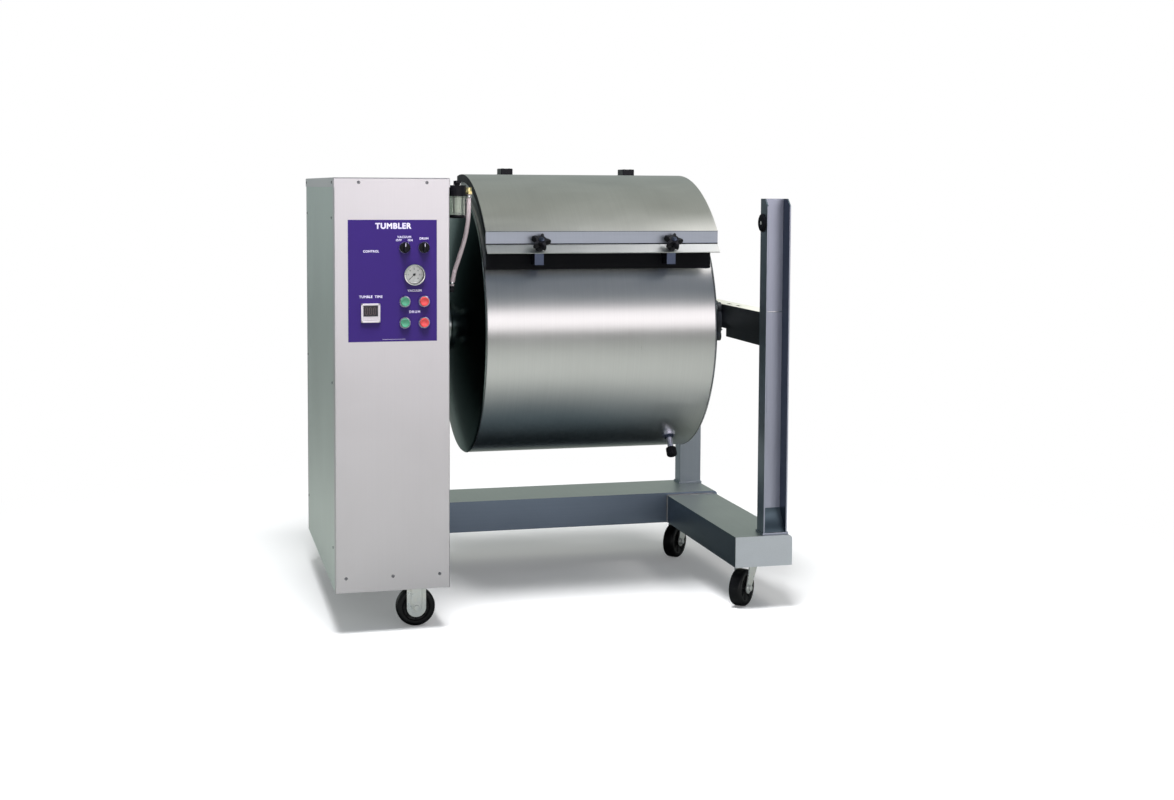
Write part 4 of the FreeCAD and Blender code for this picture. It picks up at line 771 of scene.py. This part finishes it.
def timer():
    """A panel timer: a light surround, a black window with figures and a row of keys."""
    low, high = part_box("timer")
    w = high.x - low.x
    mid = (low.x + high.x) / 2
    base, front, deck = low.z, low.y, PLATE_LOW.y
    body = bmesh.new()
    wall = 0.0042
    sides = ((low.x, base, low.x + wall, high.z), (high.x - wall, base, high.x, high.z),
             (low.x, high.z - wall, high.x, high.z), (low.x, base, high.x, base + wall))
    for left, foot, right, top in sides:
        block(body, (left, front, foot), (right, deck, top), 0.0006)
    block(body, (low.x + 0.002, front + 0.0011, base + 0.002), (high.x - 0.002, deck, high.z - 0.002), 0.0004)
    block(body, (low.x + 0.0015, deck - 0.0002, base + 0.0015), (high.x - 0.0015, high.y, high.z - 0.0015),
          0.0008)
    for k in range(4):
        left = low.x + w * (0.13 + 0.19 * k)
        block(body, (left, front + 0.0003, base + w * 0.125), (left + w * 0.155, deck, base + w * 0.205),
              0.0005)
    block(body, (low.x + w * 0.12, front + 0.0006, base + w * 0.25),
          (high.x - w * 0.12, deck, base + w * 0.27), 0.0002)
    piece("timer_housing", body, "root", "timer_grey", "timer")
    glass = bmesh.new()
    block(glass, (low.x + w * 0.115, front + 0.0005, base + w * 0.33),
          (high.x - w * 0.115, front + 0.004, base + w * 0.90), 0.0005)
    piece("timer_window", glass, "root", "display")
    figures = bmesh.new()
    y = front + 0.00045
    for k in range(3):
        left, foot = mid + w * (-0.29 + 0.21 * k), base + w * 0.43
        wide, tall, bar = w * 0.135, w * 0.36, w * 0.028
        for part in ("bottom", "top", "left_low", "left_high", "right_low", "right_high"):
            if part in ("bottom", "top"):
                z = foot + (tall if part == "top" else 0)
                block(figures, (left + bar, y, z - bar / 2), (left + wide - bar, y + 0.0003, z + bar / 2))
                continue
            x = left + (wide - bar if part.startswith("right") else 0)
            z = foot + (tall / 2 if part.endswith("high") else 0)
            block(figures, (x, y, z + bar * 0.6), (x + bar, y + 0.0003, z + tall / 2 - bar * 0.6))
    piece("timer_figures", figures, "root", "digit")


timer()


# ---- cabinet

def cabinet_screws():
    """Domed socket screws wherever the CAD has a screw."""
    bm = bmesh.new()
    centre = sum(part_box("top_cover"), Vector()) / 2
    for low, high in islands("cabinet_screws"):
        size, middle = high - low, (low + high) / 2
        thin = min(range(3), key=lambda i: size[i])
        radius = max(size) / 2 * 1.3
        axis = Vector()
        axis[thin] = 1 if middle[thin] > centre[thin] else -1
        seat = middle.copy()
        seat[thin] = low[thin] if axis[thin] > 0 else high[thin]
        pan_screw(bm, seat, axis, radius, size[thin])
    piece("cabinet_screw_heads", bm, "root", "screw_steel", "cabinet_screws")


cabinet_screws()


# ---- vacuum line

def filter_set():
    """The bowl's ribbed wall, its dark lower rim and drain, and the element inside."""
    low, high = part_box("filter_bowl")
    at = Vector(((low.x + high.x) / 2, (low.y + high.y) / 2, low.z))
    r, tall = (high.x - low.x) / 2, high.z - low.z
    bowl = bmesh.new()
    lathe(bowl, at, Z,
          [(0.0005, 0), (0.0005, r * 0.72), (0.003, r * 0.93), (0.008, r * 0.98), (tall, r * 0.98),
           (tall, r * 0.90), (0.009, r * 0.90), (0.005, r * 0.85), (0.0032, r * 0.70), (0.0032, 0)], 64)
    piece("filter_bowl_wall", bowl, "root", "bowl_clear", "filter_bowl")
    base = bmesh.new()
    lathe(base, at, Z,
          [(0, 0.004), (0, r * 0.7), (0.0016, r * 0.9), (0.0045, r), (0.0085, r), (0.0085, r * 0.985),
           (0.004, r * 0.95), (0.0012, r * 0.72), (0.001, 0.004), (0, 0.004)], 64)
    for k in range(6):
        a = math.radians(60 * k)
        middle = at + Vector((math.cos(a), math.sin(a), 0)) * (r * 0.97) + Z * (tall / 2 + 0.004)
        block(base, middle + Vector((-0.0008, -0.0007, -tall / 2 + 0.004)),
              middle + Vector((0.0005, 0.0007, tall / 2 - 0.005)), 0.0003, turn=Matrix.Rotation(a, 3, "Z"))
    piece("filter_guard", base, "root", "black_plastic")
    core = bmesh.new()
    lathe(core, at, Z,
          [(0.014, 0), (0.014, r * 0.5), (0.018, r * 0.55), (0.018, r * 0.48), (tall - 0.008, r * 0.48),
           (tall - 0.008, r * 0.58), (tall - 0.0005, r * 0.58), (tall - 0.0005, 0)], 40)
    piece("filter_core", core, "root", "filter_media")
    ring = bmesh.new()
    for k in range(3):
        lathe(ring, Vector((at.x, at.y, high.z)) + Z * (0.004 + 0.0045 * k), Z,
              [(0, r * 1.05), (0.0004, r * 1.085), (0.0018, r * 1.085), (0.0022, r * 1.05), (0, r * 1.05)],
              72, shape=knurl)
    piece("filter_head_rings", ring, "root", "black_plastic")


filter_set()


def hose_ends():
    """Brass nuts at the elbow and the filter's outlet, and a spring clip at each end of the hose."""
    low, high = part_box("filter_bowl")
    middle, r = (low + high) / 2, (high.x - low.x) / 2
    level = HOSE_ROUTE[0][2]
    fit = bmesh.new()
    elbow = Vector((HOSE_BOX[1].x - 0.007, middle.y, level + 0.0002))
    lathe(fit, elbow, Z,
          [(0, 0.0062), (0, 0.0084, hexagon), (0.0065, 0.0084, hexagon), (0.0072, 0.0072),
           (0.0072, 0.0062), (0, 0.0062)], 48)
    outlet = Vector((middle.x + r * 1.08, middle.y, level + 0.009))
    lathe(fit, outlet, X,
          [(0, 0.0055), (0, 0.0082, hexagon), (0.0045, 0.0082, hexagon), (0.0052, 0.007), (0.0052, 0.0055),
           (0, 0.0055)], 48)
    piece("hose_nuts", fit, "root", "brass")
    clamp = bmesh.new()
    for place, up in ((HOSE_ROUTE[0], -0.009), (HOSE_ROUTE[-1], 0.0045)):
        lathe(clamp, Vector(place) + Z * up, Z,
              [(0, 0.0061), (0, 0.0070), (0.001, 0.0074), (0.005, 0.0074), (0.006, 0.0070), (0.006, 0.0061),
               (0, 0.0061)], 48)
    piece("hose_clips", clamp, "root", "bright_steel")


hose_ends()


# ---- drum and lid

AXIS = joint_line("drum_spin")[0]
DRUM_RADIUS = DRUM_HIGH.y - AXIS.y


def drum_welds():
    """A run of weld round each end of the shell."""
    bm = bmesh.new()
    radius = DRUM_RADIUS - 0.0006
    count = int(math.tau * radius / WELD_STEP)
    for x in (DRUM_LOW.x, DRUM_HIGH.x):
        turns = [math.radians(360 * i / count) for i in range(count)]
        ring = [Vector((x, AXIS.y + radius * math.cos(a), AXIS.z + radius * math.sin(a))) for a in turns]
        sweep(bm, ring, 0.0016, 6, 0.12, True)
    piece("drum_seam_welds", bm, "drum", "weld_steel")


drum_welds()


def neck_seal():
    """A black strip of painted shadow on the neck's front wall, under the lid's lip."""
    low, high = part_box("opening_neck")
    bm, front = bmesh.new(), low.y
    foot = AXIS.z + math.sqrt(DRUM_RADIUS ** 2 - (AXIS.y - front) ** 2) - 0.0008
    block(bm, (low.x - 0.0012, front - 0.0030, foot), (high.x + 0.0012, front - 0.0001, foot + 0.056), 0.0008)
    piece("neck_seal", bm, "drum", "seal_rubber")


neck_seal()


def star_knob(side):
    """A five-lobed black hand knob with a dished centre, on a threaded steel stud."""
    node = f"star_knob_{side}"
    at, axis = joint_line(f"{node}_spin")
    r, stud = 0.027, 0.005
    bm = bmesh.new()
    lathe(bm, at, axis,
          [(0.0005, stud), (0.0005, 0.0108), (0.010, 0.0108), (0.016, 0.0125), (0.0165, r * 0.80, star),
           (0.0185, r * 0.95, star), (0.0215, r, star), (0.0285, r, star), (0.0325, r * 0.94, star),
           (0.0350, r * 0.80, star), (0.0358, r * 0.50), (0.0345, r * 0.34), (0.0345, stud)], 120, 0,
           start=X)
    lathe(bm, at, axis,
          [(-0.022, 0), (-0.022, 0.0040), (-0.0205, stud), (0.0375, stud), (0.039, 0.0040), (0.039, 0)], 32,
           1, start=X)
    turns, steps = 13, 20
    thread = []
    for k in range(turns * steps + 1):
        a = math.tau * k / steps
        out = X * math.cos(a) + axis.cross(X) * math.sin(a)
        thread.append(at + axis * (-0.021 + 0.0215 * k / (turns * steps)) + out * 0.0049)
    sweep(bm, thread, 0.00045, 4, look=1)
    lathe(bm, at, axis,
          [(0.0342, stud), (0.0342, 0.0070, hexagon), (0.0366, 0.0070, hexagon), (0.0372, 0.0060),
           (0.0372, stud)], 48, 1, start=X)
    piece(f"{node}_grip", bm, f"knob_{side}", ["black_plastic", "lug_steel"], node)


star_knob("left")
star_knob("right")


def drain_cap():
    """A black screw cap with finger ribs on the drain, and the nut at the drain's foot."""
    at, axis = joint_line("drain_cap_turn")
    mouth = at + axis * (DRUM_RADIUS + 0.042)
    r, bore = 0.0141, 0.0084
    bm = bmesh.new()
    lathe(bm, mouth, axis,
          [(0, bore), (0, 0.0130), (0.0015, r), (0.003, r, knurl), (0.020, r, knurl), (0.0225, 0.0135),
           (0.0245, 0.0108), (0.025, 0)], 96)
    lathe(bm, mouth, axis, [(0, bore), (0.017, bore), (0.017, 0)], 96)
    piece("drain_cap_body", bm, "drain_cap", "black_plastic", "drain_cap")
    pad = bmesh.new()
    lathe(pad, at + axis * (DRUM_RADIUS + 0.005), axis,
          [(0, 0.0082), (0, 0.0118, hexagon), (0.006, 0.0118, hexagon), (0.0068, 0.0102),
           (0.0068, 0.0082)], 48)
    piece("drain_nut", pad, "drum", "lug_steel")


drain_cap()


def patch(node, test):
    """The corners of the box round those faces of a CAD node that pass a test."""
    mesh = NODES[node].data
    spots = [mesh.vertices[i].co for p in mesh.polygons if test(p.normal, p.center) for i in p.vertices]
    return corners(spots)


def fold_lines():
    """Painted shadow lines along the folds of the lid's upright strip, and the weld across the front post's
    web.
    """
    low, high = patch("lid_cover", lambda n, c: n.y < -0.95 and c.y < LID_LOW.y + 0.05)
    # painted shadow: thin dark strips along the strip's folds
    folds = bmesh.new()
    for z, half in ((low.z + 0.0012, 0.0015), (high.z, 0.0006)):
        block(folds, (low.x, low.y - 0.0009, z - half), (high.x, low.y + 0.0004, z + half), 0.0003)
    piece("lid_fold_shadows", folds, "lid", "edge_dark")
    inside = (POST_LOW.x + WEB, POST_HIGH.x - WEB)
    low, high = patch("posts", lambda n, c: n.y < -0.9 and c.y < 0 and inside[0] < c.x < inside[1])
    seam = bmesh.new()
    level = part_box("cross_beam")[1].z
    block(seam, (low.x + 0.001, high.y - 0.0008, level - 0.0012),
          (high.x - 0.001, high.y + 0.0004, level + 0.0012), 0.0004)
    piece("post_seam", seam, "root", "bright_steel")


fold_lines()


def hinge_details():
    """Two socket screws through each hinge block and a washer at each pin's end."""
    bm = bmesh.new()
    for low, high in islands("lid_hinge_blocks"):
        mid = (low.x + high.x) / 2
        for k in (-1, 1):
            pan_screw(bm, Vector((mid + k * 0.0095, low.y + 0.014, high.z - 0.0020)), Z, 0.0046, 0.0026)
    piece("hinge_block_screws", bm, "lid", "bright_steel")
    washers = bmesh.new()
    for low, high in islands("hinge_pins"):
        mid = (low + high) / 2
        for x, way in ((low.x + 0.0012, -X), (high.x - 0.0012, X)):
            lathe(washers, Vector((x, mid.y, mid.z)), way,
                  [(-0.0003, 0), (-0.0003, 0.0088), (0.0010, 0.0088), (0.0016, 0.0062), (0.0016, 0)], 36)
    piece("hinge_pin_washers", washers, "drum", "bright_steel")


hinge_details()


# ---- base, posts and bearings

def frame_welds():
    """The weld where the two beams meet, up the front and across the top."""
    bm = bmesh.new()
    foot_low, foot_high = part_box("foot_beam")
    edge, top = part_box("base_beam")[0].y, foot_high.z
    front = edge - 0.0008
    sweep(bm, straight((foot_low.x, front, foot_low.z + 0.004), (foot_low.x, front, top)), 0.0032, 8, 0.14)
    sweep(bm, straight((foot_low.x + 0.001, edge - 0.0006, top), (foot_high.x - 0.014, edge - 0.0006, top)),
          0.0032, 8, 0.14)
    piece("base_welds", bm, "root", "weld_steel")


frame_welds()


def bearings():
    """Four-bolt flange bearings: a cast plate, a hub, an inner ring and a grease nipple."""
    bm = bmesh.new()
    shaft, bolt = 0.0202, 0.041
    for low, high in islands("shaft_bearings"):
        middle = (low + high) / 2
        facing = X if middle.x < 0 else -X
        seat = Vector((low.x if middle.x < 0 else high.x, AXIS.y, AXIS.z))
        lathe(bm, seat, facing,
              [(0, shaft), (0, 0.060), (0.009, 0.060), (0.012, 0.054), (0.013, 0.040), (0.024, 0.0375),
               (0.0265, 0.0355), (0.0265, 0.0305), (0.0245, 0.0295), (0.0245, 0.0265), (0.028, 0.0262),
               (0.028, shaft), (0, shaft)], 72)
        for y in (-bolt, bolt):
            for z in (-bolt, bolt):
                spot = seat + Vector((0, y, z))
                lathe(bm, spot, facing,
                      [(0, 0), (0, 0.0150), (0.0105, 0.0150), (0.012, 0.0138), (0.012, 0)], 36)
                hex_bolt(bm, spot + facing * 0.012, facing, 0.0075, 0.0055, 1)
        nipple = seat + facing * 0.017 + Z * 0.0375
        lathe(bm, nipple, Z,
              [(-0.002, 0), (-0.002, 0.0035, hexagon), (0.002, 0.0035, hexagon), (0.003, 0.002),
               (0.006, 0.0018), (0.0075, 0.0026), (0.0085, 0.0012), (0.0088, 0)], 24, 1)
    piece("flange_bearings", bm, "root", ["cast_paint", "zinc_plate"], "shaft_bearings")


bearings()


def bumper():
    """A rubber stop with a moulded step and a screw in its middle."""
    low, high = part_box("post_bumper")
    middle = (low + high) / 2
    r = (high.z - low.z) / 2
    depth = high.x - low.x
    bm = bmesh.new()
    lathe(bm, Vector((high.x, middle.y, middle.z)), -X,
          [(0, 0), (0, r), (depth * 0.45, r), (depth * 0.75, r * 0.94), (depth * 0.95, r * 0.8),
           (depth, r * 0.66), (depth, r * 0.30), (depth * 0.6, r * 0.28), (depth * 0.6, 0)], 64)
    lathe(bm, Vector((high.x - depth * 0.58, middle.y, middle.z)), -X,
          [(0, 0), (0, r * 0.25), (depth * 0.2, r * 0.25), (depth * 0.26, r * 0.16), (depth * 0.26, 0)],
          32, 1)
    piece("post_bumper_moulding", bm, "root", ["seal_rubber", "zinc_plate"], "post_bumper")


bumper()


# ---- casters

WHEELS = (("wheel_cabinet_front", "wheel_1", "root"), ("wheel_cabinet_rear", "wheel_2", "root"),
          ("wheel_foot_front", "wheel_3", "swivel_front"), ("wheel_foot_rear", "wheel_4", "swivel_rear"))
WHEEL_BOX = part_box(WHEELS[0][0])
WHEEL_HALF = (WHEEL_BOX[1].y - WHEEL_BOX[0].y) / 2


def caster_wheel(node, body):
    """A moulded wheel: a rounded tread, a dished web with spokes and a hub."""
    at, axis = joint_line(node + "_roll")
    low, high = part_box(node)
    r, half, spokes = (high.z - low.z) / 2, WHEEL_HALF, 8
    bm = bmesh.new()
    profile = [(0, 0.0066), (0, 0.0125), (0.0012, 0.0142), (0.0042, 0.0150), (0.0050, 0.019),
               (0.0050, r - 0.0185), (0.0030, r - 0.0155), (0.0006, r - 0.0140), (0.0, r - 0.0100),
               (0.0004, r - 0.0062), (0.0020, r - 0.0030), (0.0050, r - 0.0008), (0.0090, r - 0.0001),
               (half, r)]
    outer = [(a - half, b) for a, b in profile]
    outer += [(half - a, b) for a, b in reversed(profile[:-1])]
    outer.append(outer[0])
    lathe(bm, at, axis, outer, 96)
    side = axis.orthogonal().normalized()
    for way in (-1, 1):
        face = at + axis * (way * (half - 0.0050))
        for k in range(spokes):
            a = math.tau * k / spokes
            spoke = side * math.cos(a) + axis.cross(side) * math.sin(a)
            sweep(bm, [face + spoke * 0.0145, face + spoke * (r - 0.0165)], 0.0026, 10)
        lathe(bm, at + axis * (way * half), axis * way,
              [(-0.004, 0.0066), (0.0004, 0.0066), (0.0004, 0.0098), (-0.0004, 0.0102), (-0.004, 0.0102)],
              40, 1)
    piece(node + "_moulding", bm, body, ["tyre", "zinc_plate"], node)


def axle_nuts(wheel, body):
    """A nut at each end of the axle, and on a rigid fork two ribs up each leg."""
    at, axis = joint_line(wheel + "_roll")
    bm = bmesh.new()
    reach = WHEEL_HALF + 0.0045
    for way in (-1, 1):
        end = at + axis * (way * reach)
        hex_bolt(bm, end, axis * way, 0.0086, 0.0056)
        if body == "root":
            for k in (-1, 1):
                foot = end + X * (0.0145 * k) - Z * 0.004
                sweep(bm, [foot, foot + Z * 0.062], 0.0016, 10)
    piece(wheel + "_axle_nuts", bm, body, "zinc_plate")


for wheel, rolling, fork in WHEELS:
    caster_wheel(wheel, rolling)
for wheel, rolling, fork in WHEELS:
    axle_nuts(wheel, fork)


def swivel_bolts():
    """Four bolts under each swivel plate."""
    bm = bmesh.new()
    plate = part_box("foot_beam")[0].z - 0.003
    for joint in ("swivel_front_turn", "swivel_rear_turn"):
        at = joint_line(joint)[0]
        for x in (-0.040, 0.040):
            for y in (-0.026, 0.026):
                hex_bolt(bm, Vector((at.x + x, at.y + y, plate)), -Z, 0.0055, 0.0032)
    piece("swivel_plate_bolts", bm, "root", "zinc_plate")


swivel_bolts()


# ---- floor, light and surroundings

def floor():
    """A pale floor that fades to white round the object. Reflections see it darker, with a painted shadow
    close round the object.
    """
    mesh = bpy.data.meshes.new("floor")
    reach, level = 14, cad_box[0].z - 0.0005
    square = ((-reach, -reach), (reach, -reach), (reach, reach), (-reach, reach))
    mesh.from_pydata([(x, y, level) for x, y in square], [], [(0, 1, 2, 3)])
    mat = bpy.data.materials.new("floor")
    kit = Nodes(mat, clear=True)
    place = kit.node("ShaderNodeTexCoord").outputs["Object"]
    distance = kit.node("ShaderNodeVectorMath", place, operation="LENGTH").outputs["Value"]
    near = kit.node("ShaderNodeMapRange", distance, interpolation_type="SMOOTHSTEP", From_Min=0.25,
                    From_Max=1.15)
    fade = kit.node("ShaderNodeMapRange", distance, interpolation_type="SMOOTHERSTEP", From_Min=0.9,
                    From_Max=2.3)
    # painted shadow: reflections see the floor dark near the object, paler further out
    shade = kit.mixed((0.055, 0.075, 0.085), (0.42, 0.435, 0.41), near)
    mirrored = kit.node("ShaderNodeBsdfDiffuse", shade)
    matt = kit.node("ShaderNodeBsdfDiffuse", Color=(0.86, 0.86, 0.87, 1))
    lit = kit.node("ShaderNodeAddShader", matt, kit.node("ShaderNodeEmission", Strength=0.15))
    seen = kit.node("ShaderNodeMixShader", fade, lit, kit.node("ShaderNodeEmission"))
    ray = kit.node("ShaderNodeLightPath").outputs["Is Camera Ray"]
    kit.node("ShaderNodeOutputMaterial", kit.node("ShaderNodeMixShader", ray, mirrored, seen))
    mesh.materials.append(mat)
    add("floor", mesh)


floor()


def softbox(name, place, aim, size, power, colour=(1, 1, 1)):
    """A rectangular area light, aimed at a point."""
    data = bpy.data.lights.new(name, "AREA")
    data.shape = "RECTANGLE"
    data.size, data.size_y = size
    data.energy = power
    data.color = colour
    obj = add(name, data)
    obj.location = place
    obj.rotation_euler = (Vector(aim) - Vector(place)).to_track_quat("-Z", "Y").to_euler()
    return obj


softbox("front_box", (1.0, -5.2, 1.45), (0.0, 0.0, 0.85), (6.0, 1.6), 55, (1.0, 0.93, 0.94))
softbox("lid_box", (1.45, -1.1, 3.0), (0.35, -0.2, 1.0), (1.2, 1.0), 20, (1.0, 0.955, 0.92))
key = softbox("key_box", (-0.5, -1.3, 3.8), (0.0, 0.0, 0.0), (1.5, 1.5), 235)
key.visible_glossy = False      # it lights the object and makes no highlight of its own


STUDIO = (      # degrees up and over from the front, and the colour that reflections see there
    (-150, (0.05, 0.06, 0.08)), (-20, (0.05, 0.06, 0.08)), (8, (0.34, 0.37, 0.37)), (38, (0.17, 0.20, 0.24)),
    (74, (0.15, 0.18, 0.22)), (95, (0.38, 0.39, 0.345)), (140, (0.34, 0.37, 0.35)),
)
BEHIND = (0.38, 0.43, 0.42, 1)


def surroundings():
    """White where it is looked at, and in reflections a dim studio."""
    world = bpy.data.worlds.new("studio")
    scene.world = world
    kit = Nodes(world, clear=True)
    way = kit.node("ShaderNodeSeparateXYZ", kit.node("ShaderNodeTexCoord").outputs["Generated"])
    climb = kit.math("ARCTAN2", way.outputs["Z"], kit.math("MULTIPLY", way.outputs["Y"], -1.0))
    ramp = kit.node("ShaderNodeValToRGB", kit.math("MULTIPLY_ADD", climb, 0.5 / math.pi, 0.5))
    stops = ramp.color_ramp.elements
    stops[0].position, stops[0].color = 0.0, BEHIND
    stops[1].position, stops[1].color = 1.0, BEHIND
    for turn, colour in STUDIO:
        stops.new(0.5 + turn / 360).color = (*colour, 1)
    studio = kit.node("ShaderNodeBackground", ramp)
    plain = kit.node("ShaderNodeBackground", Color=(1, 1, 1, 1))
    ray = kit.node("ShaderNodeLightPath").outputs["Is Camera Ray"]
    kit.node("ShaderNodeOutputWorld", kit.node("ShaderNodeMixShader", ray, studio, plain))
    scene.view_settings.view_transform = "Standard"


surroundings()

bpy.context.view_layer.update()
